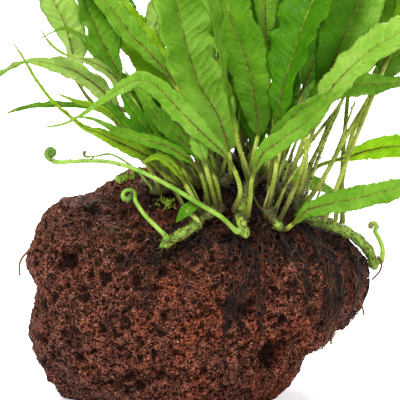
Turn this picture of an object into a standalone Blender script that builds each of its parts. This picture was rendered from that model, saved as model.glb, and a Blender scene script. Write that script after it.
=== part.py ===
"""A java fern grown onto a lump of red lava stone.

The stone stands on a small flat cut. Creeping rhizomes lie over its top, and fronds, coiled young fronds
and tresses of fine root grow from them. Lengths are written in millimetres and built in metres.

Places are given as (right, up, front) from the middle of the flat cut, seen from the front and a little
above: the whole drawing leans back by LEAN.
"""

import math
from collections import namedtuple

import bmesh
import bpy
from mathutils import Vector, noise
from mathutils.bvhtree import BVHTree

MM = 0.001
LEAN = math.radians(12.0)
# Clear space left between two pieces that touch
GAP = 0.35
# The same for pieces that follow the stone's uneven surface
LIFT = 0.95

# Colours of the plain materials
STONE_COLOUR = (0.30, 0.12, 0.08)
RHIZOME_COLOUR = (0.25, 0.32, 0.08)
ROOT_COLOUR = (0.10, 0.06, 0.03)
FROND_COLOUR = (0.12, 0.35, 0.05)
YOUNG_COLOUR = (0.35, 0.50, 0.10)
ROUGHNESS = 0.6

# Lava stone
STONE_CENTRE = (6.5, 35.5)
STONE_DEPTH_FRONT = 45.0
STONE_DEPTH_BACK = 43.0
STONE_SQUARENESS = 2.3
STONE_CUTS = 12
STONE_NOISE_SIZE = 13.0
STONE_NOISE_HEIGHT = 2.7
STONE_NOISE_GRAIN = 0.75
STONE_NOISE_STEP = 2.0
STONE_NOISE_LAYERS = 3
OUTLINE_SLOTS = 720
OUTLINE_FINENESS = 4
# Points of the mesh nearer to the cut than this are taken as lying on it
CUT_CLOSENESS = 0.001
# Outline of the stone as (right, up), anticlockwise from the right
STONE_OUTLINE = (
    (65.0, 38.5), (66.5, 47.5), (60.5, 55.5), (53.5, 63.0), (46.0, 69.0), (40.5, 77.0), (31.0, 83.0),
    (16.0, 85.5), (-1.0, 85.0), (-12.0, 83.0), (-22.5, 80.5), (-34.0, 74.0), (-46.5, 71.0), (-52.0, 64.0),
    (-53.5, 56.0), (-57.0, 49.5), (-54.5, 38.5), (-56.5, 31.5), (-57.5, 22.5), (-53.5, 12.0), (-46.5, 1.5),
    (-37.0, -3.5), (-20.0, -9.5), (2.0, -11.5), (22.0, -9.0), (34.5, 0.5), (40.5, 8.0), (43.5, 16.0),
    (52.5, 23.5), (61.0, 30.0),
)
# Lumps (height above 0) and hollows (below 0) as right, up, front, reach, height
LUMP_END = 2.5
STONE_LUMPS = (
    (47.0, 34.0, 24.0, 19.0, 4.0),
    (-30.0, 22.0, 30.0, 17.0, 3.5),
    (-44.0, 52.0, 12.0, 11.0, 3.0),
    (4.0, 10.0, 38.0, 18.0, 4.0),
    (-40.0, 50.0, 30.0, 5.5, -5.0),
    (26.0, 36.0, 42.0, 8.0, -4.5),
    (31.0, 15.0, 36.0, 8.0, -6.0),
    (35.0, 62.0, 26.0, 12.0, -3.0),
    (-12.0, 36.0, 44.0, 12.0, 2.5),
    (-26.0, 66.0, 24.0, 7.0, -3.0),
    (-20.0, 40.0, -34.0, 18.0, 5.0),
    (28.0, 58.0, -34.0, 16.0, 4.0),
    (34.0, 22.0, -30.0, 13.0, -5.0),
    (0.0, 70.0, -34.0, 9.0, -4.0),
    (-36.0, 12.0, -22.0, 12.0, -4.0),
)

# Rhizomes, laid on the stone from tip to foot as rough (right, up, front)
RHIZOME_SIDES = 8
RHIZOME_SEGMENTS_PER_POINT = 2
# Swelling along a rhizome: share of its radius, and how fast it comes and goes
SWELL_HEIGHT = 0.08
SWELL_RATE = 19.0
# Thickness of the two ends as shares of the radius
RHIZOME_TIP = 0.6
RHIZOME_HEEL = 0.8
RHIZOMES = {
    "rhizome_middle": (2.1, (
        (21.5, 57.5, 42), (19.5, 63.5, 40), (21, 70.5, 36), (23.5, 76.5, 31), (24, 81.5, 23), (20, 85, 14),
        (14, 87, 5), (10, 88, -7), (9, 86, -20))),
    "rhizome_left": (2.0, ((-8.5, 54.5, 43), (-3, 57.5, 42), (2, 60.5, 41), (6, 64.5, 39), (14, 68, 37))),
    "rhizome_upper_left": (2.0, (
        (-12, 73, 32), (-7, 75, 31), (0, 76.5, 31), (8, 77, 31), (16.5, 77.5, 30))),
    "rhizome_stump": (1.9, ((34, 60, 35), (31.5, 64.5, 36), (28, 68.5, 35))),
    "rhizome_right": (2.2, (
        (69.5, 46, 10), (66.5, 52.5, 11), (62, 56, 16), (57, 59.5, 20), (51, 62, 23), (44, 66, 24),
        (36, 71, 26), (29.5, 75, 28))),
}

# Tresses of fine root that lie on the front of the stone, from the rhizomes down: (right, up, half width)
TRESS_THICKNESS = 1.1
TRESS_COLUMNS = (-1.0, 0.0, 1.0)
TRESS_EDGE_THINNING = 0.7
TRESSES = {
    "roots_right": (
        (46, 60, 1.5), (50, 53, 3.5), (53, 44.5, 4.5), (52.5, 36, 3.5), (51, 28, 1.8), (50.5, 23.5, 0.6)),
    "roots_rim": ((60, 53.5, 1.2), (61.5, 47, 2), (61.8, 39, 2), (59.5, 32, 1.8), (56, 26.5, 0.6)),
    "roots_inner": ((36, 57.5, 2), (40, 50, 2.8), (43, 42, 2.2), (44.5, 34, 1.6), (46, 27, 0.6)),
    "roots_middle": ((27, 56, 2.5), (26, 49, 2.4), (25.5, 39, 1.8), (26, 29, 1.2), (25.2, 19.5, 0.5)),
    "roots_front": ((18.5, 52.5, 2.5), (19.5, 45, 2), (16.5, 36.5, 1.6), (13.5, 28, 1.2), (12.3, 14, 0.5)),
}

# Fronds
BLADE_SEGMENTS = 8
STALK_SEGMENTS = 2
STALK_RADIUS = (1.0, 0.75)
RIB_RADIUS = (0.6, 0.25)
CURVE_STEPS = 12
# The fold grows from nothing over the first sixth of the blade
FOLD_START = 6.0
# Half width that the tail keeps, and how far the edges of the stalk stand out past its round middle
TAIL_HALF_WIDTH = 0.5
EDGE_CLEAR = 1.15
# Width of the flat on the rib as a share of its radius, and the most of the half width that the rib takes
RIB_FLAT = 0.6
RIB_SHARE = 0.8

# Name, share of the length where the blade starts, half width, share of the blade where it is widest, how
# fast the blade slims away from there, how far each half folds up in degrees, roll of the upper side away
# from the viewer in degrees at even steps along the blade, and points from foot to tip
Frond = namedtuple("Frond", "name blade width widest slimness fold roll points")
FRONDS = (
    # Left side
    Frond("frond_left_thread", 0.45, 1.2, 0.45, 1.0, 12, (20, -10, 30), (
        (-8, 72, 38), (-11, 80, 40), (-17, 89, 41), (-25.9, 100.9, 42), (-30.8, 103.7, 42.5),
        (-34.7, 105.1, 42.5), (-38.6, 106.3, 42), (-42.5, 107.8, 41), (-45, 108.8, 40))),
    Frond("frond_left_wavy", 0.42, 1.3, 0.4, 0.5, 12, (0, 20, 10), (
        (-5, 74, 38), (-6.5, 82, 40), (-12.9, 96, 40), (-20.4, 102.7, 38), (-31.1, 104.8, 34),
        (-39.2, 105.1, 34), (-50.9, 105, 34), (-57, 104.1, 33), (-63.5, 102, 32))),
    Frond("frond_left_sweep", 0.14, 2.8, 0.18, 4.0, 12, (10, 0, 30, 20), (
        (-2, 75, 38), (-8, 81, 42), (-12.7, 86.4, 44), (-19.5, 89.9, 46), (-25.8, 92.8, 47.5),
        (-30.7, 95.1, 48), (-35.2, 96.7, 48), (-41.2, 101.4, 47.5), (-46.1, 105.7, 46.5),
        (-51.8, 112.9, 45), (-56.1, 120.2, 43), (-60.8, 127.2, 39))),
    Frond("frond_left_arch", 0.33, 3.4, 0.4, 0.9, 12, (10, 0, 25, 95, 130), (
        (-4, 79, 32), (-10, 86, 32), (-20.9, 97.6, 30), (-28, 108.7, 29), (-34.8, 114.5, 29),
        (-40.5, 117.6, 29), (-46.6, 119.3, 29), (-53, 120.4, 28), (-59.5, 119.5, 26), (-70.5, 113.5, 22))),
    Frond("frond_left_tall", 0.4, 7.6, 0.52, 1.3, 18, (145, 145, 150), (
        (-1, 80, 31), (-12, 90, 20), (-24, 99, 16), (-32.5, 105.5, 14), (-38, 113, 14), (-40.2, 123, 14),
        (-43, 134, 16), (-47.5, 143.3, 19), (-53, 152, 23), (-60, 160, 28), (-67, 165, 32))),
    Frond("frond_left_hook", 0.4, 3.0, 0.42, 1.5, 12, (10, 15, 50, 60), (
        (2, 81, 31), (-6, 92, 25), (-20, 107, 21), (-25.8, 116.5, 20), (-30.1, 122.2, 20),
        (-34.2, 126.9, 20), (-38.3, 130.6, 20), (-43.7, 132.6, 20.5), (-48, 131.1, 21),
        (-51.9, 129.1, 21.5))),
    Frond("frond_left_slim", 0.36, 2.3, 0.32, 2.2, 12, (0, 20, 30), (
        (0.8, 79.5, 34.6), (-7.5, 89, 34.5), (-15.5, 99, 36), (-22.2, 111.3, 36), (-27.1, 116.9, 36),
        (-34.6, 120.5, 35.5), (-42.4, 122.8, 35), (-47.8, 126.8, 34), (-51, 131.9, 33))),
    Frond("frond_left_dark", 0.38, 8.2, 0.4, 2.2, 32, (30, 42, 42), (
        (5, 74, 37), (-2, 84, 41), (-8, 92, 43), (-13.2, 98.4, 43), (-18.2, 106.5, 43), (-21.7, 112.8, 43),
        (-24.5, 118.1, 43), (-28.4, 125.5, 42), (-31.2, 131.2, 41), (-34.1, 138.3, 40), (-39, 153, 38),
        (-45, 165, 36), (-52, 175, 34))),
    Frond("frond_left_back", 0.4, 5.2, 0.4, 0.9, 12, (190, 200), (
        (6, 82, 30), (0, 96, 24), (-10, 114, 20), (-17, 127, 18), (-22.5, 139, 16), (-26, 152, 14),
        (-27, 165, 10), (-25, 177, 6))),
    # Left of the middle
    Frond("frond_slant_front", 0.4, 4.2, 0.4, 1.0, 15, (0, 20, 20, 10), (
        (9, 75, 38), (8, 84, 42), (5.4, 92, 43), (1, 103.7, 43), (-5.8, 115.2, 43), (-12.2, 122.8, 43),
        (-17.3, 127.8, 43), (-22.7, 134.6, 44), (-28.8, 142.2, 45), (-36, 150, 46), (-44, 157, 46),
        (-51, 161, 45))),
    Frond("frond_slant_behind", 0.08, 7.0, 0.5, 0.7, 12, (10, 0, -10), (
        (11, 82, 30), (8, 92, 31), (3, 101, 31), (-2.6, 111, 30), (-10.6, 119, 29), (-13.5, 123.3, 28.5),
        (-16.7, 128, 27.5), (-19.9, 132.6, 27), (-23.5, 138, 26), (-28.5, 147, 24), (-33.5, 157, 21))),
    Frond("frond_pale", 0.3, 5.0, 0.4, 0.9, 12, (170, 180, 190), (
        (14, 82, 25), (2, 94, 15), (-7.2, 104, 10), (-12.6, 112, 8), (-13.5, 119, 7), (-13, 126, 6),
        (-11.5, 133, 5), (-8.6, 142.2, 4), (-7, 152, 2), (-6.5, 163, 0), (-8, 173, -3))),
    Frond("frond_tall_left", 0.09, 10.6, 0.45, 0.42, 15, (15, 26, 24, 0), (
        (17, 80, 35), (16, 86, 36), (14.8, 92, 37), (11.9, 100.4, 38), (8.3, 106.6, 38), (5, 112, 38),
        (1.4, 123.1, 37), (-1.4, 133.6, 36), (-3.2, 143.3, 35), (-4, 155, 33), (-4, 167, 30),
        (-1, 179, 26), (4, 188, 22))),
    Frond("frond_edge_on", 0.25, 6.0, 0.4, 0.9, 12, (75, 70, 60, 50), (
        (25.5, 77, 37), (19.7, 88.2, 42), (18.1, 94.9, 43), (16.6, 101.5, 45), (15.2, 108.1, 46),
        (13.6, 115.1, 47), (12.1, 123.2, 47), (10.5, 130.5, 47), (8.6, 139.7, 46), (4, 155, 44),
        (-1, 167, 41), (-7, 177, 37))),
    Frond("frond_big_arch", 0.2, 4.0, 0.33, 2.0, 12, (-10, -20, 0, 20), (
        (17, 68, 42), (19.5, 74, 50), (17.5, 81.5, 54), (13, 88.3, 57), (8.5, 92.5, 59), (1.9, 99, 61),
        (-3.9, 104.9, 62), (-9.5, 110.6, 62), (-15, 112.8, 62), (-20.2, 111.1, 62), (-26.4, 107.1, 62),
        (-32, 103.2, 61), (-37.2, 99.9, 60), (-42.5, 97.5, 59), (-49.8, 96.5, 57))),
    Frond("frond_low_dark", 0.22, 2.2, 0.4, 1.2, 12, (10, 0, 20), (
        (8, 72, 40), (6.3, 79, 46), (3, 84.2, 49), (-2.6, 88.1, 50.5), (-7.9, 90.7, 51), (-13.1, 92.2, 52),
        (-18, 93.8, 52), (-22.9, 95.2, 52), (-27.8, 97.7, 51.5), (-32.7, 99.8, 51), (-38.3, 100.3, 50))),
    Frond("frond_under_arch", 0.2, 2.8, 0.4, 1.0, 12, (-10, 0, 10), (
        (12.5, 70.5, 41), (10.5, 79, 46.5), (6, 86.5, 47.5), (0.5, 90.9, 48), (-4.7, 95.8, 49),
        (-9.3, 100.3, 50), (-13.1, 105.6, 50), (-16.3, 109.8, 49), (-19.1, 113.7, 48), (-21.4, 117.6, 46))),
    Frond("frond_low_pale", 0.35, 1.8, 0.5, 0.9, 12, (0, 10), (
        (1.5, 73, 40), (-1, 79, 45), (-5, 84, 47), (-10, 86.5, 49), (-15, 84, 50))),
    # Middle
    Frond("frond_tall_middle", 0.12, 9.2, 0.45, 0.5, 14, (-15, -22, -10, 15), (
        (22, 84, 32), (25, 90, 32), (26.3, 97, 32), (25.2, 105.5, 32), (23, 118, 31), (19.4, 128.5, 30),
        (16.9, 134.3, 29.5), (15.1, 143.3, 28), (12.5, 155, 26), (12, 167, 23), (14, 180, 19),
        (17, 190, 15))),
    Frond("frond_middle_behind", 0.35, 7.6, 0.5, 0.9, 12, (180, 190), (
        (22, 87, 20), (27, 99, 16), (29.8, 112, 13), (30.2, 122, 11), (29.6, 132, 10), (29, 143, 9),
        (29, 157, 7), (30, 171, 4), (33, 183, 0))),
    Frond("frond_long_stalk", 0.5, 5.0, 0.4, 0.9, 12, (30, 10), (
        (28.5, 78.5, 33), (31.6, 86.2, 34.2), (32.2, 93.3, 33.5), (31.2, 102.6, 31), (30, 113.3, 29),
        (29.1, 124.1, 27), (28.6, 138, 25), (29.5, 150, 22), (32.5, 163, 18), (36, 175, 13))),
    Frond("frond_tall_right", 0.13, 11.3, 0.55, 0.8, 18, (-45, -44, -32, -20), (
        (32, 78, 33), (33, 87, 37), (33.5, 94, 38), (33.6, 103.1, 38.5), (35.4, 112.2, 39),
        (37.9, 120.7, 39), (41, 130.6, 39), (44.9, 140.5, 39), (50, 153, 38), (53, 165, 36), (54, 177, 33),
        (52, 187, 29))),
    Frond("frond_middle_back", 0.35, 7.0, 0.5, 0.9, 12, (190, 180), (
        (27, 86, 25), (37, 97, 19), (42, 110, 16), (47, 123, 13), (52, 137, 9), (57, 151, 4),
        (60, 165, -2))),
    Frond("frond_front_slant", 0.3, 3.7, 0.45, 0.8, 12, (-10, 10, 20), (
        (22.5, 66, 44), (23, 72, 51), (23.5, 78.5, 54), (27, 86.9, 56), (33.2, 91.8, 57), (40.1, 96.7, 57),
        (47.1, 102.9, 56), (54.5, 109.6, 54))),
    Frond("frond_slant_small", 0.35, 2.7, 0.45, 0.9, 12, (0, 20), (
        (31, 72.5, 39), (32, 82, 44), (32.1, 93.4, 46), (36.2, 98.3, 47), (40.8, 102.8, 47.5),
        (46, 106.3, 47.5), (52, 109.5, 46))),
    # Short dark fronds in the thicket
    Frond("frond_thicket_left", 0.2, 5.0, 0.45, 0.9, 12, (10, 20), (
        (7, 83, 25), (3, 89, 21), (-3, 95.5, 18), (-10, 102.5, 17), (-17, 110.5, 16), (-24, 118, 15))),
    Frond("frond_thicket_middle", 0.14, 5.6, 0.45, 0.9, 12, (0, 10), (
        (22, 85, 24), (25, 91, 25), (25.2, 97, 24.5), (23, 104, 23.5), (19.5, 111, 22.5), (15.5, 119, 21))),
    Frond("frond_thicket_right", 0.16, 5.6, 0.45, 0.9, 12, (-10, 0), (
        (29, 82, 26), (32, 90, 25.5), (33.5, 99, 25), (34.5, 108, 24.5), (37.5, 118, 24), (41, 128, 22))),
    # Right side
    Frond("frond_right_dark", 0.3, 10.2, 0.5, 0.8, 12, (0, -10, -10), (
        (36, 76, 31), (40.5, 88, 31), (45, 101, 31), (50, 114, 31), (55.5, 127, 31), (59.2, 136.1, 31),
        (61.9, 143.3, 31), (65, 155, 29), (66, 168, 26), (63.5, 180, 22))),
    Frond("frond_right_bright", 0.3, 6.9, 0.5, 0.8, 15, (-10, -32, -32, -10), (
        (35, 66, 41), (38, 74, 43), (41.5, 84, 44), (45.7, 97.2, 44), (49.7, 107, 44), (54.4, 113.5, 44),
        (60, 119, 44), (66.6, 124.5, 43), (77.4, 130.7, 42), (90, 134.5, 39), (103, 135.5, 34))),
    Frond("frond_right_level", 0.38, 4.8, 0.3, 1.8, 12, (0, 10, -10), (
        (40, 72, 32), (42.5, 81, 34.5), (43, 90, 35.5), (42.6, 100.3, 35.5), (45, 106.3, 35.5),
        (49.6, 110.2, 35.5), (55.3, 112.2, 35.5), (61, 112.4, 35.3), (67.4, 112.5, 35), (76.3, 113.1, 34),
        (86, 115, 32.5), (93, 114.5, 31))),
    Frond("frond_right_outer", 0.48, 7.0, 0.4, 0.9, 12, (-20, 0), (
        (51, 66, 30), (56, 81, 28), (61.9, 95.8, 27), (67, 108.4, 26), (71, 118, 25), (75.5, 128, 24),
        (82, 142, 22), (90, 157, 19), (99, 170, 15), (108, 179, 10))),
    Frond("frond_right_twin", 0.5, 6.0, 0.4, 0.9, 12, (-20, -10), (
        (54.5, 64.5, 28), (58.8, 90.6, 21), (62.6, 100.1, 15), (67.2, 109.6, 10), (72.6, 118.1, 5),
        (79, 125.2, 1), (97, 133, -3), (110, 140, -8))),
    Frond("frond_right_high", 0.45, 7.0, 0.4, 0.9, 12, (-10, 0), (
        (45, 70, 31), (49.3, 79.2, 30), (57.2, 93.6, 27), (66.2, 108.4, 20), (71, 119, 14), (75, 131, 9),
        (79, 143, 5), (84, 156, 1), (91, 168, -4), (99, 177, -10))),
    Frond("frond_right_upright", 0.45, 6.4, 0.4, 0.9, 12, (170, 190), (
        (56.5, 64, 20), (56.5, 78.5, 16), (57.2, 90, 12), (58.5, 104, 8), (60, 118, 4), (62.5, 132, 1),
        (66, 148, -2), (71, 162, -6), (78, 173, -11))),
    Frond("frond_right_mid", 0.3, 4.2, 0.5, 0.9, 12, (0, -10), (
        (41, 74, 27), (43, 79, 22), (47, 83, 18.5), (52, 85, 17), (57, 86.3, 17), (61, 87.6, 16.5),
        (66.6, 89.3, 15), (77.4, 90.7, 14), (88, 89, 12), (98, 85, 8))),
    Frond("frond_right_low", 0.06, 4.2, 0.4, 1.0, 12, (-20, -10, 0), (
        (37, 61, 39), (40, 64.5, 43), (43, 67.5, 45), (47.5, 69, 46), (57.6, 71.3, 47), (63, 72.4, 47),
        (77.4, 76, 45), (88, 79, 42), (98, 81, 38))),
    # Back, in line with the fronds in front of them
    Frond("frond_back_left_tall", 0.35, 6.5, 0.4, 0.9, 12, (180, 180), (
        (10, 91, 6), (4, 104, -4), (0, 118, -12), (-2, 132, -18), (-4, 147, -22), (-4, 161, -27),
        (-2, 174, -33))),
    Frond("frond_back_middle", 0.35, 7.0, 0.4, 0.9, 12, (180, 170), (
        (14, 92, 1), (17, 106, -8), (18, 122, -15), (17, 138, -21), (17, 154, -26), (19, 169, -32),
        (24, 181, -39))),
    Frond("frond_back_right_tall", 0.35, 6.5, 0.4, 0.9, 12, (190, 180), (
        (19, 91, 10), (28, 104, 0), (35, 118, -9), (41, 132, -17), (46, 147, -24), (50, 161, -31),
        (53, 174, -39))),
    Frond("frond_back_left_arch", 0.35, 2.6, 0.4, 0.9, 12, (180, 190), (
        (6, 92, -8), (-10, 95, -14), (-22, 99.1, -20), (-28.2, 108.6, -28), (-33.2, 113.6, -34),
        (-38.2, 117, -38), (-43.6, 120, -42), (-48.7, 121.8, -45))),
    Frond("frond_back_arch", 0.35, 6.0, 0.4, 0.9, 12, (180, 180), (
        (12, 92, -12), (12, 106, -25), (11, 119, -38), (10, 128, -52), (7, 132, -66), (4, 130, -80),
        (2, 123, -91))),
    Frond("frond_back_right_arch", 0.35, 5.0, 0.4, 0.9, 12, (180, 170), (
        (14, 91, -6), (31, 99, -18), (44, 108, -29), (56, 117, -40), (67, 124, -50), (78, 128, -59),
        (89, 127, -66))),
    Frond("frond_back_right_low", 0.35, 3.6, 0.4, 0.9, 12, (180, 180), (
        (13, 91, -15), (26, 87, -27), (39, 82, -38), (50, 77, -46), (60, 72, -52))),
    Frond("frond_back_left_low", 0.35, 3.8, 0.4, 0.9, 12, (180, 180), (
        (5, 90, -17), (-4, 94, -30), (-14, 98, -43), (-22, 99, -54), (-30, 96, -64))),
)

# Coiled young fronds: radius of the stalk, radius of the coil, turns (below 0 clockwise) and points from the
# foot to the middle of the coil
FIDDLEHEAD_SIDES = 5
FIDDLEHEAD_SEGMENTS_PER_POINT = 2
FIDDLEHEAD_TAPER = 0.3
COIL_STEPS = 7
Fiddlehead = namedtuple("Fiddlehead", "name radius coil turns points")
FIDDLEHEADS = (
    Fiddlehead("fiddlehead_long", 0.9, 1.1, -0.8, (
        (17, 60, 45), (13, 65.2, 47), (5.4, 69.8, 48), (-5.4, 76.3, 48), (-16.2, 81.7, 46), (-26, 84.6, 44),
        (-34.5, 85.1, 41.5), (-43.3, 84.7, 38), (-46.8, 85.3, 36.5), (-48.7, 86.8, 36), (-47.3, 88, 36))),
    Fiddlehead("fiddlehead_thin", 0.45, 0.9, -0.4, (
        (-12, 76, 34), (-16.2, 81, 36), (-21.2, 85, 37), (-26.3, 87.5, 37), (-31, 86.9, 37),
        (-34.5, 86.6, 36.5), (-35, 87.8, 36.5))),
    Fiddlehead("fiddlehead_left", 0.85, 1.6, 0.7, (
        (-6.5, 58.5, 47), (-10, 62, 46), (-14, 66, 43), (-17.3, 70.9, 39), (-20.2, 72.6, 37))),
    Fiddlehead("fiddlehead_right", 0.75, 1.2, 0.7, (
        (70.5, 49.5, 12), (71.3, 53.5, 12), (70.2, 57, 12), (68.6, 60, 12), (67.8, 61.9, 12))),
)


def catmull_rom(points, share, closed=False):
    """Point at share (0 to 1) of a smooth curve through the points."""
    spans = len(points) if closed else len(points) - 1
    place = min(max(share, 0.0), 1.0) * spans
    i = min(int(place), spans - 1)
    t = place - i
    if closed:
        a, b, c, d = (points[(i + k) % len(points)] for k in (-1, 0, 1, 2))
    else:
        b, c = points[i], points[i + 1]
        a = points[i - 1] if i else b * 2 - c
        d = points[i + 2] if i + 2 < len(points) else c * 2 - b
    return 0.5 * (2 * b + (c - a) * t + (2 * a - 5 * b + 4 * c - d) * t**2 + (3 * b - a - 3 * c + d) * t**3)


def outline_table():
    """Radius of the stone's outline about its centre, for evenly spaced angles."""
    corners = [Vector((u - STONE_CENTRE[0], v - STONE_CENTRE[1])) for u, v in STONE_OUTLINE]
    count = OUTLINE_FINENESS * OUTLINE_SLOTS
    curve = [catmull_rom(corners, k / count, closed=True) for k in range(count)]
    table = [0.0] * OUTLINE_SLOTS
    for point in curve:
        slot = int((math.atan2(point.y, point.x) % math.tau) / math.tau * OUTLINE_SLOTS) % OUTLINE_SLOTS
        table[slot] = max(table[slot], point.length)
    for slot in range(OUTLINE_SLOTS):
        if table[slot] == 0.0:
            table[slot] = table[slot - 1]
    return table


OUTLINE = outline_table()


def outline_radius(angle):
    place = (angle % math.tau) / math.tau * len(OUTLINE)
    i = int(place) % len(OUTLINE)
    return OUTLINE[i] + (OUTLINE[(i + 1) % len(OUTLINE)] - OUTLINE[i]) * (place - int(place))


def lean_back(place):
    """From (right, up, front) of the drawing to the part's own axes."""
    right, up, front = place
    return Vector((
        right,
        up * math.sin(LEAN) - front * math.cos(LEAN),
        up * math.cos(LEAN) + front * math.sin(LEAN),
    ))


def stone_point(direction):
    """Place on the stone's surface for a direction given as (right, front, up) on the unit sphere."""
    right, front, up = direction
    angle = math.atan2(up, right)
    power = 2.0 / STONE_SQUARENESS
    reach = outline_radius(angle) * math.hypot(right, up) ** power
    depth = (STONE_DEPTH_FRONT if front > 0 else STONE_DEPTH_BACK) * abs(front) ** power
    place = Vector((
        STONE_CENTRE[0] + reach * math.cos(angle),
        STONE_CENTRE[1] + reach * math.sin(angle),
        math.copysign(depth, front),
    ))
    rise = STONE_NOISE_HEIGHT * noise.fractal(
        place / STONE_NOISE_SIZE, STONE_NOISE_GRAIN, STONE_NOISE_STEP, STONE_NOISE_LAYERS)
    for u, v, w, size, height in STONE_LUMPS:
        distance = (place - Vector((u, v, w))).length / size
        if distance < LUMP_END:
            rise += height * math.exp(-distance * distance)
    return place + Vector((right, up, front)) * rise


def make_object(name, bm, colour, smooth):
    for vertex in bm.verts:
        vertex.co = lean_back(vertex.co) * MM
    if smooth:
        for face in bm.faces:
            face.smooth = True
    mesh = bpy.data.meshes.new(name)
    bmesh.ops.triangulate(bm, faces=bm.faces[:])
    bmesh.ops.recalc_face_normals(bm, faces=bm.faces)
    bm.to_mesh(mesh)
    bm.free()
    obj = bpy.data.objects.new(name, mesh)
    bpy.context.scene.collection.objects.link(obj)
    material = bpy.data.materials.new(name)
    material.use_nodes = True
    shader = material.node_tree.nodes["Principled BSDF"]
    shader.inputs["Base Color"].default_value = (*colour, 1.0)
    shader.inputs["Roughness"].default_value = ROUGHNESS
    mesh.materials.append(material)
    return obj


def make_stone():
    bm = bmesh.new()
    bmesh.ops.create_cube(bm, size=2.0)
    bmesh.ops.subdivide_edges(bm, edges=bm.edges[:], cuts=STONE_CUTS, use_grid_fill=True)
    for vertex in bm.verts:
        vertex.co = stone_point(vertex.co.normalized())
    table = Vector((0.0, math.cos(LEAN), math.sin(LEAN)))
    cut = bmesh.ops.bisect_plane(
        bm, geom=bm.verts[:] + bm.edges[:] + bm.faces[:], plane_co=(0, 0, 0), plane_no=-table,
        dist=CUT_CLOSENESS, clear_outer=True)
    rim = [e for e in cut["geom_cut"] if isinstance(e, bmesh.types.BMEdge)]
    bmesh.ops.contextual_create(bm, geom=rim)
    bmesh.ops.triangulate(bm, faces=bm.faces[:])
    bmesh.ops.recalc_face_normals(bm, faces=bm.faces)
    surface = BVHTree.FromBMesh(bm)
    make_object("lava_stone", bm, STONE_COLOUR, smooth=False)
    return surface


def centreline(points, shares):
    """Places and directions at the given shares of the length of a smooth curve."""
    points = [Vector(p) for p in points]
    count = CURVE_STEPS * (len(points) - 1)
    curve = [catmull_rom(points, k / count) for k in range(count + 1)]
    lengths = [0.0]
    for a, b in zip(curve, curve[1:]):
        lengths.append(lengths[-1] + (b - a).length)
    stations = []
    for share in shares:
        wanted = share * lengths[-1]
        i = max(k for k in range(count) if lengths[k] <= wanted)
        t = (wanted - lengths[i]) / (lengths[i + 1] - lengths[i])
        stations.append((curve[i].lerp(curve[i + 1], t), (curve[i + 1] - curve[i]).normalized()))
    return stations


def skin(bm, rings):
    """Closed skin over rings of equal size."""
    rows = [[bm.verts.new(p) for p in ring] for ring in rings]
    for low, high in zip(rows, rows[1:]):
        for k in range(len(low)):
            bm.faces.new((low[k - 1], low[k], high[k], high[k - 1]))
    bm.faces.new(rows[0])
    bm.faces.new(reversed(rows[-1]))


def tube_rings(stations, radii, sides):
    """Round rings whose first direction is carried along the curve, so that the tube doesn't twist."""
    across = stations[0][1].orthogonal().normalized()
    rings = []
    for (place, along), radius in zip(stations, radii):
        across = (across - along * across.dot(along)).normalized()
        other = along.cross(across)
        angles = [math.tau * k / sides for k in range(sides)]
        rings.append([place + (across * math.cos(a) + other * math.sin(a)) * radius for a in angles])
    return rings


def make_rhizome(name, surface, radius, rough):
    """A rhizome laid on the stone, thinner at its tip."""
    laid = []
    for point in rough:
        place, normal, _, _ = surface.find_nearest(Vector(point))
        laid.append(place + normal * (radius + LIFT))
    segments = RHIZOME_SEGMENTS_PER_POINT * len(laid)
    shares = [k / segments for k in range(segments + 1)]
    stations = centreline(laid, shares)
    radii = [radius * (1.0 + SWELL_HEIGHT * math.sin(SWELL_RATE * s)) for s in shares]
    radii[0] *= RHIZOME_TIP
    radii[-1] *= RHIZOME_HEEL
    bm = bmesh.new()
    skin(bm, tube_rings(stations, radii, RHIZOME_SIDES))
    tree_mesh = bm.copy()
    bmesh.ops.triangulate(tree_mesh, faces=tree_mesh.faces[:])
    bmesh.ops.recalc_face_normals(tree_mesh, faces=tree_mesh.faces)
    tree = BVHTree.FromBMesh(tree_mesh)
    tree_mesh.free()
    make_object(name, bm, RHIZOME_COLOUR, smooth=True)
    return tree


def make_tress(name, surface, path):
    """A flat tress of fine root that follows the stone's surface and tapers downwards."""
    laid = []
    for right, up, half in path:
        place, normal, _, _ = surface.ray_cast(Vector((right, up, 2 * STONE_DEPTH_FRONT)), Vector((0, 0, -1)))
        laid.append((place, normal, half))
    rings = []
    for k in range(2 * len(laid) - 1):
        place, normal, half = laid[k // 2]
        before = laid[max(k // 2 - 1, 0)]
        after = laid[min(k // 2 + 1, len(laid) - 1)]
        if k % 2:
            place = place.lerp(after[0], 0.5)
            normal = normal.lerp(after[1], 0.5)
            half = (half + after[2]) / 2
        along = (after[0] - before[0]).normalized()
        across = along.cross(normal).normalized()
        lower, upper = [], []
        for column in TRESS_COLUMNS:
            ground, up, _, _ = surface.find_nearest(place + across * half * column)
            thickness = TRESS_THICKNESS * (1.0 - TRESS_EDGE_THINNING * column * column)
            lower.append(ground + up * LIFT)
            upper.append(ground + up * (LIFT + thickness))
        rings.append(lower + upper[::-1])
    bm = bmesh.new()
    skin(bm, rings)
    make_object(name, bm, ROOT_COLOUR, smooth=False)


def start_on(trees, point, clear):
    """The place next to the nearest rhizome from which a stalk that begins near point grows."""
    point = Vector(point)
    found = min((tree.find_nearest(point) for tree in trees), key=lambda hit: hit[3])
    away = (point - found[0]).normalized()
    return found[0] + away * clear


def blade_profile(t, widest, slimness):
    """Share of the full half width at share t of the blade. A blade widest low down has a long tail."""
    power = math.log(0.5) / math.log(widest)
    return max(math.sin(math.pi * min(max(t, 0.0), 1.0) ** power), 0.0) ** slimness


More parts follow.
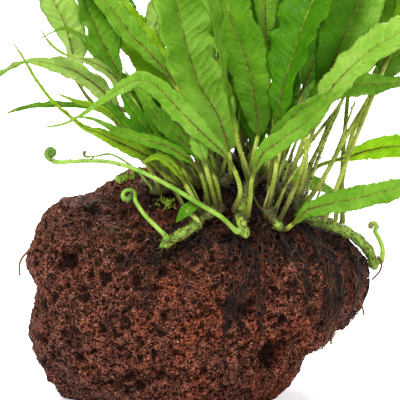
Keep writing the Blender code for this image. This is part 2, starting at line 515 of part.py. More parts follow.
def make_frond(frond, trees):
    """One frond: a stalk up to the blade's share of its length, then the blade around its rib."""
    points = [Vector(p) for p in frond.points]
    points[0] = start_on(trees, points[0], GAP + STALK_RADIUS[0])
    shares = [frond.blade * k / STALK_SEGMENTS for k in range(STALK_SEGMENTS)]
    shares += [frond.blade + (1.0 - frond.blade) * k / BLADE_SEGMENTS for k in range(BLADE_SEGMENTS + 1)]
    rolls = [Vector((math.radians(angle), 0.0)) for angle in frond.roll]
    rings = []
    for (place, along), share in zip(centreline(points, shares), shares):
        t = (share - frond.blade) / (1.0 - frond.blade)
        if t < 0.0:
            thick = STALK_RADIUS[0] + (STALK_RADIUS[1] - STALK_RADIUS[0]) * share / frond.blade
        else:
            thick = RIB_RADIUS[0] + (RIB_RADIUS[1] - RIB_RADIUS[0]) * t
        tail = TAIL_HALF_WIDTH * math.sqrt(max(1.0 - t, 0.0))
        half = frond.width * blade_profile(t, frond.widest, frond.slimness)
        half = max(half, thick * EDGE_CLEAR, tail)
        out = Vector((0.0, 0.0, 1.0))
        out = (out - along * out.dot(along)).normalized()
        side = along.cross(out)
        angle = catmull_rom(rolls, t).x
        out, side = (
            out * math.cos(angle) + side * math.sin(angle),
            side * math.cos(angle) - out * math.sin(angle),
        )
        fold = math.radians(frond.fold) * min(max(t * FOLD_START, 0.0), 1.0)
        edge = side * half * math.cos(fold)
        raised = out * half * math.sin(fold)
        rib = min(thick, half * RIB_SHARE)
        flat = side * rib * RIB_FLAT
        rings.append([
            place - edge + raised,
            place - flat + out * rib,
            place + flat + out * rib,
            place + edge + raised,
            place + flat - out * rib,
            place - flat - out * rib,
        ])
    bm = bmesh.new()
    skin(bm, rings)
    make_object(frond.name, bm, FROND_COLOUR, smooth=False)


def make_fiddlehead(young, trees):
    """A young frond: a stalk that ends in a flat coil around its last point."""
    centre = Vector(young.points[-1])
    stalk = [start_on(trees, young.points[0], GAP + young.radius)] + [Vector(p) for p in young.points[1:-1]]
    arm = stalk[-1] - centre
    first = math.atan2(arm.y, arm.x)
    steps = int(abs(young.turns) * COIL_STEPS)
    for k in range(1, steps + 1):
        angle = first + math.tau * young.turns * k / steps
        reach = arm.length + (young.coil - arm.length) * k / steps
        stalk.append(centre + Vector((math.cos(angle) * reach, math.sin(angle) * reach, 0.0)))
    segments = FIDDLEHEAD_SEGMENTS_PER_POINT * len(stalk)
    shares = [k / segments for k in range(segments + 1)]
    stations = centreline(stalk, shares)
    radii = [young.radius * (1.0 - FIDDLEHEAD_TAPER * s) for s in shares]
    bm = bmesh.new()
    skin(bm, tube_rings(stations, radii, FIDDLEHEAD_SIDES))
    make_object(young.name, bm, YOUNG_COLOUR, smooth=True)


def clear_scene():
    for obj in list(bpy.data.objects):
        bpy.data.objects.remove(obj)


def main():
    clear_scene()
    surface = make_stone()
    trees = [make_rhizome(name, surface, radius, rough) for name, (radius, rough) in RHIZOMES.items()]
    for name, path in TRESSES.items():
        make_tress(name, surface, path)

    for frond in FRONDS:
        make_frond(frond, trees)
    for young in FIDDLEHEADS:
        make_fiddlehead(young, trees)


main()
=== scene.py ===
"""Looks of a java fern grown onto a lump of red lava stone.

The stone gets its pores and lumps, and each frond is a thin toothed blade, veined around a scaly rib.
Rhizomes, coiled young fronds, stalks and fine roots grow along lines, with scales, hairs, moss and crumbs
scattered over them. Places are written in millimetres as (right, up, front) of a drawing that leans back by
LEAN, as in the part, and become metres in the frame.
"""

import math
from collections import namedtuple
from types import SimpleNamespace

import bmesh
import bpy
import numpy as np
from mathutils import Matrix, Vector, noise
from mathutils.bvhtree import BVHTree

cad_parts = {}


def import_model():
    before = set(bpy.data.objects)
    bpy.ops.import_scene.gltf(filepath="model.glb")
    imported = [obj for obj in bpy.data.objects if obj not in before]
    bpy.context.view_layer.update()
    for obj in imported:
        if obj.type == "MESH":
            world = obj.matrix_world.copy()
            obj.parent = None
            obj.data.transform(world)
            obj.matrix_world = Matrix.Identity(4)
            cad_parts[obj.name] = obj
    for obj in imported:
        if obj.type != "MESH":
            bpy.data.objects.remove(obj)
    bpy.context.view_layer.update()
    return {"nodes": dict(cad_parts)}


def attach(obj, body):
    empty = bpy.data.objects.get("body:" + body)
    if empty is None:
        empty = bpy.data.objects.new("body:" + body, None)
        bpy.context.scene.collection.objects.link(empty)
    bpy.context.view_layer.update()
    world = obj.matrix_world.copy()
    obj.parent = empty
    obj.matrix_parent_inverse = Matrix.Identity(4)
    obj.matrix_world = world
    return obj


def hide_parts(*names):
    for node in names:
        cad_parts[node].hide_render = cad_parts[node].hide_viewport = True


MM = 0.001
LEAN = math.radians(12.0)

# Camera: far off, level with the middle of the picture and looking a little down
IMAGE_SIDE = 400
MM_PER_PIXEL = 0.36
CAMERA_AIM = (5.4, 0.0, 72.9)
CAMERA_DISTANCE = 1200.0
CAMERA_SENSOR = 36.0

# Steps of a curve between two of its points
CURVE_STEPS = 24

# Fronds
BLADE_STEP = 0.65
STALK_STEP = 2.0
STALK_RADIUS = (0.85, 0.65)
# Gap between a stalk's solid and its rhizome, which the scene's stalk closes
STALK_GAP = 0.35
# What every blade shares: inputs of the frond's tree
BLADE = {
    "Thickness": 0.32, "Tail half width": 0.7, "Rib at foot": 0.6, "Rib at tip": 0.22,
    "Stalk swelling": STALK_RADIUS[0] - STALK_RADIUS[1], "Tooth length": 2.6, "Tooth depth": 0.42,
    "Lobe length": 5.0, "Lobe depth": 0.45, "Ruffle length": 11.0, "Ruffle share": 0.15, "Vein spacing": 3.2,
    "Quilting": 0.42, "Around": 28, "Scales per mm2": 0.55,
}

# What every stem shares unless it says otherwise: inputs of the stem's tree
STEM = {"Around": 14, "Lump size": 2.4, "Lump height": 0.3, "Scales per mm2": 0.3, "Hairs per mm2": 0.2,
        "Hair length": 1.0}
RHIZOME_STEM = {"Around": 26, "Lump size": 2.2, "Lump height": 1.0, "Scales per mm2": 0.6,
                "Hairs per mm2": 1.1, "Hair length": 1.2}
SHOOT_STEM = {"Lump height": 0.12, "Scales per mm2": 0.25, "Hairs per mm2": 0.9, "Hair length": 1.2}
STALK_STEM = {"Around": 8, "Lump height": 0.1, "Scales per mm2": 0.3, "Hairs per mm2": 0.12}
# What every bundle of roots shares unless it says otherwise: inputs of the roots' tree
ROOTS = {"Step": 0.8, "Crook": 1.7, "Radius at foot": 0.30, "Radius at tip": 0.11, "Lift": 1.0}
FREE_ROOT = {"Crook": 0.3, "Radius at foot": 0.46, "Radius at tip": 0.40}
LOOSE_ROOT = {"Radius at foot": 0.18}

# Stone: size of the mesh that rounds the facets off, and of the one that carries the pores
ROUNDING_VOXEL = 1.6
STONE_VOXEL = 0.73
STONE_SEED = 5
LUMP_SIZE = 6.0
LUMP_HEIGHT = 1.3
# Layers of pores: size, depth, and how many of the cells are open, from -1 for none to 1 for all
PORES = (
    (1.8, 0.7, 0.7),
    (3.2, 0.9, -0.3),
    (5.5, 1.3, -0.75),
)
# Deep hollows on the front: right, up, reach, depth
HOLLOWS = (
    (-41.3, 50.0, 4.2, 4.2), (-32.6, 68.5, 4.5, 2.0), (-7.4, 46.4, 2.6, 1.6), (-35.2, 37.5, 2.6, 1.6),
    (-50.5, 33.3, 2.6, 1.5), (-46.9, 15.5, 2.2, 1.3), (29.9, 17.0, 5.5, 3.0), (21.1, 32.8, 3.6, 2.0),
    (34.6, 28.2, 2.6, 1.6), (34.4, 20.7, 2.6, 1.8), (-15.7, 5.2, 2.6, 1.5), (-27.0, 44.0, 2.4, 1.4),
)
# What is noted for each place on the stone, for its finish
STONE_MARKS = ("pit", "soil", "grey", "algae", "warm")
# How far a rhizome's middle lies above its own radius on the stone, and its share of the solid's radius
RHIZOME_LIFT = 0.95
RHIZOME_SLIMMING = 0.86

# Soil, warm orange places and algae on the stone's front: right, up, reach, strength
SOILED = ((-19.0, 74.0, 9.0, 0.75), (-33.0, 70.0, 9.0, 0.6), (-6.0, 66.0, 9.0, 0.5), (20.0, 60.0, 10.0, 0.6),
          (-44.0, 62.0, 5.0, 0.4))
WARM = ((32.0, 8.0, 18.0, 0.9), (-34.0, 48.0, 8.0, 0.8), (2.0, 38.0, 12.0, 0.6), (28.0, 42.0, 10.0, 0.7),
        (60.0, 42.0, 8.0, 0.7))
ALGAE = ((-23.0, 60.0, 11.0, 0.7), (-8.0, 52.0, 9.0, 0.7), (6.0, 52.0, 9.0, 0.5), (-30.0, 71.0, 7.0, 0.5))

# Rhizomes, laid on the stone from tip to foot: radius and rough (right, up, front)
RHIZOMES = {
    "rhizome_middle": (2.1, (
        (21.5, 57.5, 42), (19.5, 63.5, 40), (21, 70.5, 36), (23.5, 76.5, 31), (24, 81.5, 23), (20, 85, 14),
        (14, 87, 5), (10, 88, -7), (9, 86, -20))),
    "rhizome_left": (2.0, ((-8.5, 54.5, 43), (-3, 57.5, 42), (2, 60.5, 41), (6, 64.5, 39), (14, 68, 37))),
    "rhizome_upper_left": (2.0, (
        (-12, 73, 32), (-7, 75, 31), (0, 76.5, 31), (8, 77, 31), (16.5, 77.5, 30))),
    "rhizome_stump": (1.9, ((34, 60, 35), (31.5, 64.5, 36), (28, 68.5, 35))),
    "rhizome_right": (2.2, (
        (69.5, 46, 10), (66.5, 52.5, 11), (62, 56, 16), (57, 59.5, 20), (51, 62, 23), (44, 66, 24),
        (36, 71, 26), (29.5, 75, 28))),
}

# Share of each rhizome, from its tip, that is still green
FRESH = {"rhizome_middle": 0.1, "rhizome_left": 0.6, "rhizome_upper_left": -0.2, "rhizome_stump": 0.3,
         "rhizome_right": 0.6}

# How many fibres each tress has
FIBRES = {"roots_right": 36, "roots_rim": 16, "roots_inner": 9, "roots_middle": 6, "roots_front": 6}
# Tresses of fine root from the rhizomes down: (right, up, half width)
TRESSES = {
    "roots_right": (
        (46, 60, 1.5), (50, 53, 3.5), (53, 44.5, 4.5), (52.5, 36, 3.5), (51, 28, 1.8), (50.5, 23.5, 0.6)),
    "roots_rim": ((60, 53.5, 1.2), (61.5, 47, 2), (61.8, 39, 2), (59.5, 32, 1.8), (56, 26.5, 0.6)),
    "roots_inner": ((36, 57.5, 2), (40, 50, 2.8), (43, 42, 2.2), (44.5, 34, 1.6), (46, 27, 0.6)),
    "roots_middle": ((27, 56, 2.5), (26, 49, 2.4), (25.5, 39, 1.8), (26, 29, 1.2), (25.2, 19.5, 0.5)),
    "roots_front": ((18.5, 52.5, 2.5), (19.5, 45, 2), (16.5, 36.5, 1.6), (13.5, 28, 1.2), (12.3, 14, 0.5)),
}

# Coiled young fronds: radius, coil radius, turns, and points from foot to the coil's centre
Fiddlehead = namedtuple("Fiddlehead", "name radius coil turns points")
FIDDLEHEADS = (
    Fiddlehead("fiddlehead_long", 0.9, 1.1, -0.8, (
        (17, 60, 45), (13, 65.2, 47), (5.4, 69.8, 48), (-5.4, 76.3, 48), (-16.2, 81.7, 46), (-26, 84.6, 44),
        (-34.5, 85.1, 41.5), (-43.3, 84.7, 38), (-46.8, 85.3, 36.5), (-48.7, 86.8, 36), (-47.3, 88, 36))),
    Fiddlehead("fiddlehead_thin", 0.45, 0.9, -0.4, (
        (-12, 76, 34), (-16.2, 81, 36), (-21.2, 85, 37), (-26.3, 87.5, 37), (-31, 86.9, 37),
        (-34.5, 86.6, 36.5), (-35, 87.8, 36.5))),
    Fiddlehead("fiddlehead_left", 0.85, 1.6, 0.7, (
        (-6.5, 58.5, 47), (-10, 62, 46), (-14, 66, 43), (-17.3, 70.9, 39), (-20.2, 72.6, 37))),
    Fiddlehead("fiddlehead_right", 1.0, 1.2, 0.55, (
        (70.5, 49.5, 12), (71.3, 53.5, 12), (70.2, 57, 12), (68.6, 60, 12), (67.8, 61.9, 12))),
)

BROWN_FIDDLEHEAD = "fiddlehead_right"
# Steps to a turn, turns for each turn of the solid's coil, and shares of its arm and of its radius that the
# coil starts and ends with
COIL_STEPS = 7
COIL_TIGHTNESS = 1.8
COIL_START = 0.85
COIL_HEART = 0.45

# Fronds: share of the length where the blade starts, half width, share of the blade where it is widest, how
# fast the blade slims away from there, how far each half folds up in degrees, roll of the upper side away
# from the viewer in degrees at even steps along the blade, and points from foot to tip
Frond = namedtuple("Frond", "name blade width widest slimness fold roll points")
FRONDS = (
    # Left side
    Frond("frond_left_thread", 0.45, 1.2, 0.45, 1.0, 12, (20, -10, 30), (
        (-8, 72, 38), (-11, 80, 40), (-17, 89, 41), (-25.9, 100.9, 42), (-30.8, 103.7, 42.5),
        (-34.7, 105.1, 42.5), (-38.6, 106.3, 42), (-42.5, 107.8, 41), (-45, 108.8, 40))),
    Frond("frond_left_wavy", 0.42, 1.3, 0.4, 0.5, 12, (0, 20, 10), (
        (-5, 74, 38), (-6.5, 82, 40), (-12.9, 96, 40), (-20.4, 102.7, 38), (-31.1, 104.8, 34),
        (-39.2, 105.1, 34), (-50.9, 105, 34), (-57, 104.1, 33), (-63.5, 102, 32))),
    Frond("frond_left_sweep", 0.14, 2.8, 0.18, 4.0, 12, (10, 0, 30, 20), (
        (-2, 75, 38), (-8, 81, 42), (-12.7, 86.4, 44), (-19.5, 89.9, 46), (-25.8, 92.8, 47.5),
        (-30.7, 95.1, 48), (-35.2, 96.7, 48), (-41.2, 101.4, 47.5), (-46.1, 105.7, 46.5),
        (-51.8, 112.9, 45), (-56.1, 120.2, 43), (-60.8, 127.2, 39))),
    Frond("frond_left_arch", 0.33, 3.5, 0.42, 0.42, 12, (10, 0, 25, 95, 135), (
        (-4, 79, 32), (-10, 86, 32), (-20.9, 97.6, 30), (-28, 108.7, 29), (-34.8, 114.5, 29),
        (-40.5, 117.6, 29), (-46.6, 119.3, 29), (-53, 120.4, 28), (-59.5, 119.5, 26), (-70.5, 113.5, 22))),
    Frond("frond_left_tall", 0.4, 7.6, 0.52, 1.3, 18, (145, 145, 150), (
        (-1, 80, 31), (-12, 90, 20), (-24, 99, 16), (-32.5, 105.5, 14), (-38, 113, 14), (-40.2, 123, 14),
        (-43, 134, 16), (-47.5, 143.3, 19), (-53, 152, 23), (-60, 160, 28), (-67, 165, 32))),
    Frond("frond_left_hook", 0.4, 3.0, 0.42, 1.5, 12, (10, 15, 50, 60), (
        (2, 81, 31), (-6, 92, 25), (-20, 107, 21), (-25.8, 116.5, 20), (-30.1, 122.2, 20),
        (-34.2, 126.9, 20), (-38.3, 130.6, 20), (-43.7, 132.6, 20.5), (-48, 131.1, 21),
        (-51.9, 129.1, 21.5))),
    Frond("frond_left_slim", 0.36, 2.3, 0.32, 2.2, 12, (0, 20, 30), (
        (0.8, 79.5, 34.6), (-7.5, 89, 34.5), (-15.5, 99, 36), (-22.2, 111.3, 36), (-27.1, 116.9, 36),
        (-34.6, 120.5, 35.5), (-42.4, 122.8, 35), (-47.8, 126.8, 34), (-51, 131.9, 33))),
    Frond("frond_left_dark", 0.38, 8.2, 0.4, 2.2, 32, (30, 42, 42), (
        (5, 74, 37), (-2, 84, 41), (-8, 92, 43), (-13.2, 98.4, 43), (-18.2, 106.5, 43), (-21.7, 112.8, 43),
        (-24.5, 118.1, 43), (-28.4, 125.5, 42), (-31.2, 131.2, 41), (-34.1, 138.3, 40), (-39, 153, 38),
        (-45, 165, 36), (-52, 175, 34))),
    Frond("frond_left_back", 0.4, 5.2, 0.4, 0.9, 12, (190, 200), (
        (6, 82, 30), (0, 96, 24), (-10, 114, 20), (-17, 127, 18), (-22.5, 139, 16), (-26, 152, 14),
        (-27, 165, 10), (-25, 177, 6))),
    # Left of the middle
    Frond("frond_slant_front", 0.4, 4.2, 0.4, 1.0, 15, (0, 20, 20, 10), (
        (9, 75, 38), (8, 84, 42), (5.4, 92, 43), (1, 103.7, 43), (-5.8, 115.2, 43), (-12.2, 122.8, 43),
        (-17.3, 127.8, 43), (-22.7, 134.6, 44), (-28.8, 142.2, 45), (-36, 150, 46), (-44, 157, 46),
        (-51, 161, 45))),
    Frond("frond_slant_behind", 0.08, 7.0, 0.5, 0.7, 12, (10, 0, -10), (
        (11, 82, 30), (8, 92, 31), (3, 101, 31), (-2.6, 111, 30), (-10.6, 119, 29), (-13.5, 123.3, 28.5),
        (-16.7, 128, 27.5), (-19.9, 132.6, 27), (-23.5, 138, 26), (-28.5, 147, 24), (-33.5, 157, 21))),
    Frond("frond_pale", 0.3, 5.0, 0.4, 0.9, 12, (170, 180, 190), (
        (14, 82, 25), (2, 94, 15), (-7.2, 104, 10), (-12.6, 112, 8), (-13.5, 119, 7), (-13, 126, 6),
        (-11.5, 133, 5), (-8.6, 142.2, 4), (-7, 152, 2), (-6.5, 163, 0), (-8, 173, -3))),
    Frond("frond_tall_left", 0.09, 10.6, 0.45, 0.42, 15, (15, 26, 24, 0), (
        (17, 80, 35), (16, 86, 36), (14.8, 92, 37), (11.9, 100.4, 38), (8.3, 106.6, 38), (5, 112, 38),
        (1.4, 123.1, 37), (-1.4, 133.6, 36), (-3.2, 143.3, 35), (-4, 155, 33), (-4, 167, 30),
        (-1, 179, 26), (4, 188, 22))),
    Frond("frond_edge_on", 0.25, 6.0, 0.4, 0.9, 12, (75, 70, 60, 50), (
        (25.5, 77, 37), (19.7, 88.2, 42), (18.1, 94.9, 43), (16.6, 101.5, 45), (15.2, 108.1, 46),
        (13.6, 115.1, 47), (12.1, 123.2, 47), (10.5, 130.5, 47), (8.6, 139.7, 46), (4, 155, 44),
        (-1, 167, 41), (-7, 177, 37))),
    Frond("frond_big_arch", 0.2, 4.0, 0.33, 2.0, 12, (-10, -20, 0, 20), (
        (17, 68, 42), (19.5, 74, 50), (17.5, 81.5, 54), (13, 88.3, 57), (8.5, 92.5, 59), (1.9, 99, 61),
        (-3.9, 104.9, 62), (-9.5, 110.6, 62), (-15, 112.8, 62), (-20.2, 111.1, 62), (-26.4, 107.1, 62),
        (-32, 103.2, 61), (-37.2, 99.9, 60), (-42.5, 97.5, 59), (-49.8, 96.5, 57))),
    Frond("frond_low_dark", 0.22, 2.2, 0.4, 1.2, 12, (10, 0, 20), (
        (8, 72, 40), (6.3, 79, 46), (3, 84.2, 49), (-2.6, 88.1, 50.5), (-7.9, 90.7, 51), (-13.1, 92.2, 52),
        (-18, 93.8, 52), (-22.9, 95.2, 52), (-27.8, 97.7, 51.5), (-32.7, 99.8, 51), (-38.3, 100.3, 50))),
    Frond("frond_under_arch", 0.2, 2.8, 0.4, 1.0, 12, (-10, 0, 10), (
        (12.5, 70.5, 41), (10.5, 79, 46.5), (6, 86.5, 47.5), (0.5, 90.9, 48), (-4.7, 95.8, 49),
        (-9.3, 100.3, 50), (-13.1, 105.6, 50), (-16.3, 109.8, 49), (-19.1, 113.7, 48), (-21.4, 117.6, 46))),
    Frond("frond_low_pale", 0.35, 1.8, 0.5, 0.9, 12, (0, 10), (
        (1.5, 73, 40), (-1, 79, 45), (-5, 84, 47), (-10, 86.5, 49), (-15, 84, 50))),
    # Middle
    Frond("frond_tall_middle", 0.12, 9.2, 0.45, 0.5, 14, (-15, -22, -10, 15), (
        (22, 84, 32), (25, 90, 32), (26.3, 97, 32), (25.2, 105.5, 32), (23, 118, 31), (19.4, 128.5, 30),
        (16.9, 134.3, 29.5), (15.1, 143.3, 28), (12.5, 155, 26), (12, 167, 23), (14, 180, 19),
        (17, 190, 15))),
    Frond("frond_middle_behind", 0.35, 7.6, 0.5, 0.9, 12, (180, 190), (
        (22, 87, 20), (27, 99, 16), (29.8, 112, 13), (30.2, 122, 11), (29.6, 132, 10), (29, 143, 9),
        (29, 157, 7), (30, 171, 4), (33, 183, 0))),
    Frond("frond_long_stalk", 0.5, 5.0, 0.4, 0.9, 12, (30, 10), (
        (28.5, 78.5, 33), (31.6, 86.2, 34.2), (32.2, 93.3, 33.5), (31.2, 102.6, 31), (30, 113.3, 29),
        (29.1, 124.1, 27), (28.6, 138, 25), (29.5, 150, 22), (32.5, 163, 18), (36, 175, 13))),
    Frond("frond_tall_right", 0.13, 11.3, 0.55, 0.8, 18, (-45, -44, -32, -20), (
        (32, 78, 33), (33, 87, 37), (33.5, 94, 38), (33.6, 103.1, 38.5), (35.4, 112.2, 39),
        (37.9, 120.7, 39), (41, 130.6, 39), (44.9, 140.5, 39), (50, 153, 38), (53, 165, 36), (54, 177, 33),
        (52, 187, 29))),
    Frond("frond_middle_back", 0.35, 7.0, 0.5, 0.9, 12, (190, 180), (
        (27, 86, 25), (37, 97, 19), (42, 110, 16), (47, 123, 13), (52, 137, 9), (57, 151, 4),
        (60, 165, -2))),
    Frond("frond_front_slant", 0.3, 3.7, 0.45, 0.8, 12, (-10, 10, 20), (
        (22.5, 66, 44), (23, 72, 51), (23.5, 78.5, 54), (27, 86.9, 56), (33.2, 91.8, 57), (40.1, 96.7, 57),
        (47.1, 102.9, 56), (54.5, 109.6, 54))),
    Frond("frond_slant_small", 0.35, 2.7, 0.45, 0.9, 12, (0, 20), (
        (31, 72.5, 39), (32, 82, 44), (32.1, 93.4, 46), (36.2, 98.3, 47), (40.8, 102.8, 47.5),
        (46, 106.3, 47.5), (52, 109.5, 46))),
    # Short dark fronds in the thicket
    Frond("frond_thicket_left", 0.2, 5.0, 0.45, 0.9, 12, (10, 20), (
        (7, 83, 25), (3, 89, 21), (-3, 95.5, 18), (-10, 102.5, 17), (-17, 110.5, 16), (-24, 118, 15))),
    Frond("frond_thicket_middle", 0.14, 5.6, 0.45, 0.9, 12, (0, 10), (
        (22, 85, 24), (25, 91, 25), (25.2, 97, 24.5), (23, 104, 23.5), (19.5, 111, 22.5), (15.5, 119, 21))),
    Frond("frond_thicket_right", 0.16, 5.6, 0.45, 0.9, 12, (-10, 0), (
        (29, 82, 26), (32, 90, 25.5), (33.5, 99, 25), (34.5, 108, 24.5), (37.5, 118, 24), (41, 128, 22))),
    # Right side
    Frond("frond_right_dark", 0.3, 10.8, 0.5, 0.8, 28, (0, -10, -10), (
        (36, 76, 31), (40.5, 88, 31), (45, 101, 31), (50, 114, 31), (55.5, 127, 31), (59.2, 136.1, 31),
        (61.9, 143.3, 31), (65, 155, 29), (66, 168, 26), (63.5, 180, 22))),
    Frond("frond_right_bright", 0.3, 6.9, 0.5, 0.8, 15, (-10, -32, -32, -10), (
        (35, 66, 41), (38, 74, 43), (41.5, 84, 44), (45.7, 97.2, 44), (49.7, 107, 44), (54.4, 113.5, 44),
        (60, 119, 44), (66.6, 124.5, 43), (77.4, 130.7, 42), (90, 134.5, 39), (103, 135.5, 34))),
    Frond("frond_right_level", 0.38, 4.8, 0.3, 1.8, 12, (0, 10, -10), (
        (40, 72, 32), (42.5, 81, 34.5), (43, 90, 35.5), (42.6, 100.3, 35.5), (45, 106.3, 35.5),
        (49.6, 110.2, 35.5), (55.3, 112.2, 35.5), (61, 112.4, 35.3), (67.4, 112.5, 35), (76.3, 113.1, 34),
        (86, 115, 32.5), (93, 114.5, 31))),
    Frond("frond_right_outer", 0.48, 7.0, 0.4, 0.9, 12, (-20, 0), (
        (51, 66, 30), (56, 81, 28), (61.9, 95.8, 27), (67, 108.4, 26), (71, 118, 25), (75.5, 128, 24),
        (82, 142, 22), (90, 157, 19), (99, 170, 15), (108, 179, 10))),
    Frond("frond_right_twin", 0.5, 6.0, 0.4, 0.9, 12, (-20, -10), (
        (54.5, 64.5, 28), (58.8, 90.6, 21), (62.6, 100.1, 15), (67.2, 109.6, 10), (72.6, 118.1, 5),
        (79, 125.2, 1), (97, 133, -3), (110, 140, -8))),
    Frond("frond_right_high", 0.45, 7.0, 0.4, 0.9, 12, (-10, 0), (
        (45, 70, 31), (49.3, 79.2, 30), (57.2, 93.6, 27), (66.2, 108.4, 20), (71, 119, 14), (75, 131, 9),
        (79, 143, 5), (84, 156, 1), (91, 168, -4), (99, 177, -10))),
    Frond("frond_right_upright", 0.45, 6.4, 0.4, 0.9, 12, (170, 190), (
        (56.5, 64, 20), (56.5, 78.5, 16), (57.2, 90, 12), (58.5, 104, 8), (60, 118, 4), (62.5, 132, 1),
        (66, 148, -2), (71, 162, -6), (78, 173, -11))),
    Frond("frond_right_mid", 0.3, 4.2, 0.5, 0.9, 12, (0, -10), (
        (41, 74, 27), (43, 79, 22), (47, 83, 18.5), (52, 85, 17), (57, 86.3, 17), (61, 87.6, 16.5),
        (66.6, 89.3, 15), (77.4, 90.7, 14), (88, 89, 12), (98, 85, 8))),
    Frond("frond_right_low", 0.06, 4.2, 0.4, 1.0, 12, (-20, -10, 0), (
        (37, 61, 39), (40, 64.5, 43), (43, 67.5, 45), (47.5, 69, 46), (57.6, 71.3, 47), (63, 72.4, 47),
        (77.4, 76, 45), (88, 79, 42), (98, 81, 38))),
    # Back, in line with the fronds in front of them
    Frond("frond_back_left_tall", 0.35, 6.5, 0.4, 0.9, 12, (180, 180), (
        (10, 91, 6), (4, 104, -4), (0, 118, -12), (-2, 132, -18), (-4, 147, -22), (-4, 161, -27),
        (-2, 174, -33))),
    Frond("frond_back_middle", 0.35, 7.0, 0.4, 0.9, 12, (180, 170), (
        (14, 92, 1), (17, 106, -8), (18, 122, -15), (17, 138, -21), (17, 154, -26), (19, 169, -32),
        (24, 181, -39))),
    Frond("frond_back_right_tall", 0.35, 6.5, 0.4, 0.9, 12, (190, 180), (
        (19, 91, 10), (28, 104, 0), (35, 118, -9), (41, 132, -17), (46, 147, -24), (50, 161, -31),
        (53, 174, -39))),
    Frond("frond_back_left_arch", 0.35, 2.6, 0.4, 0.9, 12, (180, 190), (
        (6, 92, -8), (-10, 95, -14), (-22, 99.1, -20), (-28.2, 108.6, -28), (-33.2, 113.6, -34),
        (-38.2, 117, -38), (-43.6, 120, -42), (-48.7, 121.8, -45))),
    Frond("frond_back_arch", 0.35, 6.0, 0.4, 0.9, 12, (180, 180), (
        (12, 92, -12), (12, 106, -25), (11, 119, -38), (10, 128, -52), (7, 132, -66), (4, 130, -80),
        (2, 123, -91))),
    Frond("frond_back_right_arch", 0.35, 5.0, 0.4, 0.9, 12, (180, 170), (
        (14, 91, -6), (31, 99, -18), (44, 108, -29), (56, 117, -40), (67, 124, -50), (78, 128, -59),
        (89, 127, -66))),
    Frond("frond_back_right_low", 0.35, 3.6, 0.4, 0.9, 12, (180, 180), (
        (13, 91, -15), (26, 87, -27), (39, 82, -38), (50, 77, -46), (60, 72, -52))),
    Frond("frond_back_left_low", 0.35, 3.8, 0.4, 0.9, 12, (180, 180), (
        (5, 90, -17), (-4, 94, -30), (-14, 98, -43), (-22, 99, -54), (-30, 96, -64))),
)

# Single roots and thin strands over the front: spread, share of amber, and (right, up) points
LOOSE_ROOTS = {
    "mass": (3.0, 0.0, ((57.6, 53.3), (59.4, 46.1), (55.8, 38.2), (51.5, 31.7))),
    "rim": (1.0, 0.0, ((62.3, 33.5), (57.6, 27.4), (52.9, 22.7))),
    "low end": (0.6, 0.0, ((52.2, 25.2), (49.8, 20.5), (46.8, 15.8))),
    "centre": (0.8, 0.0, ((25.6, 49), (25.6, 38.9), (25.9, 28.1), (25.2, 19.4))),
    "centre left": (1.0, 0.0, ((23.4, 44.3), (20.9, 35.3), (19.1, 31.7), (22, 24.5), (25.6, 13.7))),
    "left strand": (1.0, 0.0, ((21.6, 40.7), (15.5, 35.3), (12.6, 28.1), (12.2, 13.7))),
    "short strand": (0.5, 0.0, ((28.8, 37.1), (27, 26.3), (25.6, 21.6))),
    "right strand": (1.5, 0.0, ((37.8, 49), (42.1, 42.5), (44.3, 35.3), (50.4, 25.2))),
    "top left": (0.3, 0.0, ((-36, 74.2), (-36.4, 68.4))),
    "top left twin": (0.3, 0.0, ((-32.4, 70.6), (-35.3, 68))),
    "left amber": (0.02, 0.4, ((-38, 64.5), (-45, 62.3), (-51.5, 57.6), (-55.8, 53.3))),
    "far right": (0.4, 0.6, ((66, 52), (69, 47), (70.2, 44), (67.3, 42.8))),
    "right drop": (0.5, 0.5, ((60, 45), (62, 38), (63.7, 31))),
    "over the right": (1.5, 0.0, ((44, 61), (52, 56), (60, 49), (63, 42))),
    "band": (3.0, 0.0, ((-4, 61), (6, 58), (16, 55), (28, 54), (40, 55))),
}

# Roots whose ends hang free: share of amber, and (right, up, front) points
FREE_ROOTS = (
    (0.4, (69.4, 51.0, 13.0), (70.9, 48.6, 14.0), (70.2, 45.6, 14.5), (68.0, 43.0, 14.0), (65.4, 41.2, 13.0)),
    (0.7, (-55.0, 54.5, 21.0), (-58.4, 50.6, 22.0), (-59.3, 46.5, 22.5), (-58.4, 41.5, 22.0)),
    (0.3, (52.5, 27.5, 30.0), (51.1, 23.1, 31.0), (49.0, 19.1, 31.0), (47.9, 15.9, 30.5)),
    (0.6, (53.5, 26.5, 29.0), (52.5, 22.5, 30.0), (51.8, 18.5, 30.0)),
    (1.0, (62.5, 35.5, 18.0), (63.9, 32.0, 18.5), (64.4, 28.6, 18.0)),
)

# Thin stalks that crowd between the fronds: rhizome, share of it where they begin, and how many
THICKET = (("rhizome_left", 0.4, 9), ("rhizome_upper_left", 0.3, 20), ("rhizome_middle", 0.25, 30),
           ("rhizome_stump", 0.3, 5))
# Where in width they stand upright, and how far to its left and right they lean by 45 degrees
FAN_MIDDLE = 18.0
FAN_REACH = (28.0, 62.0)
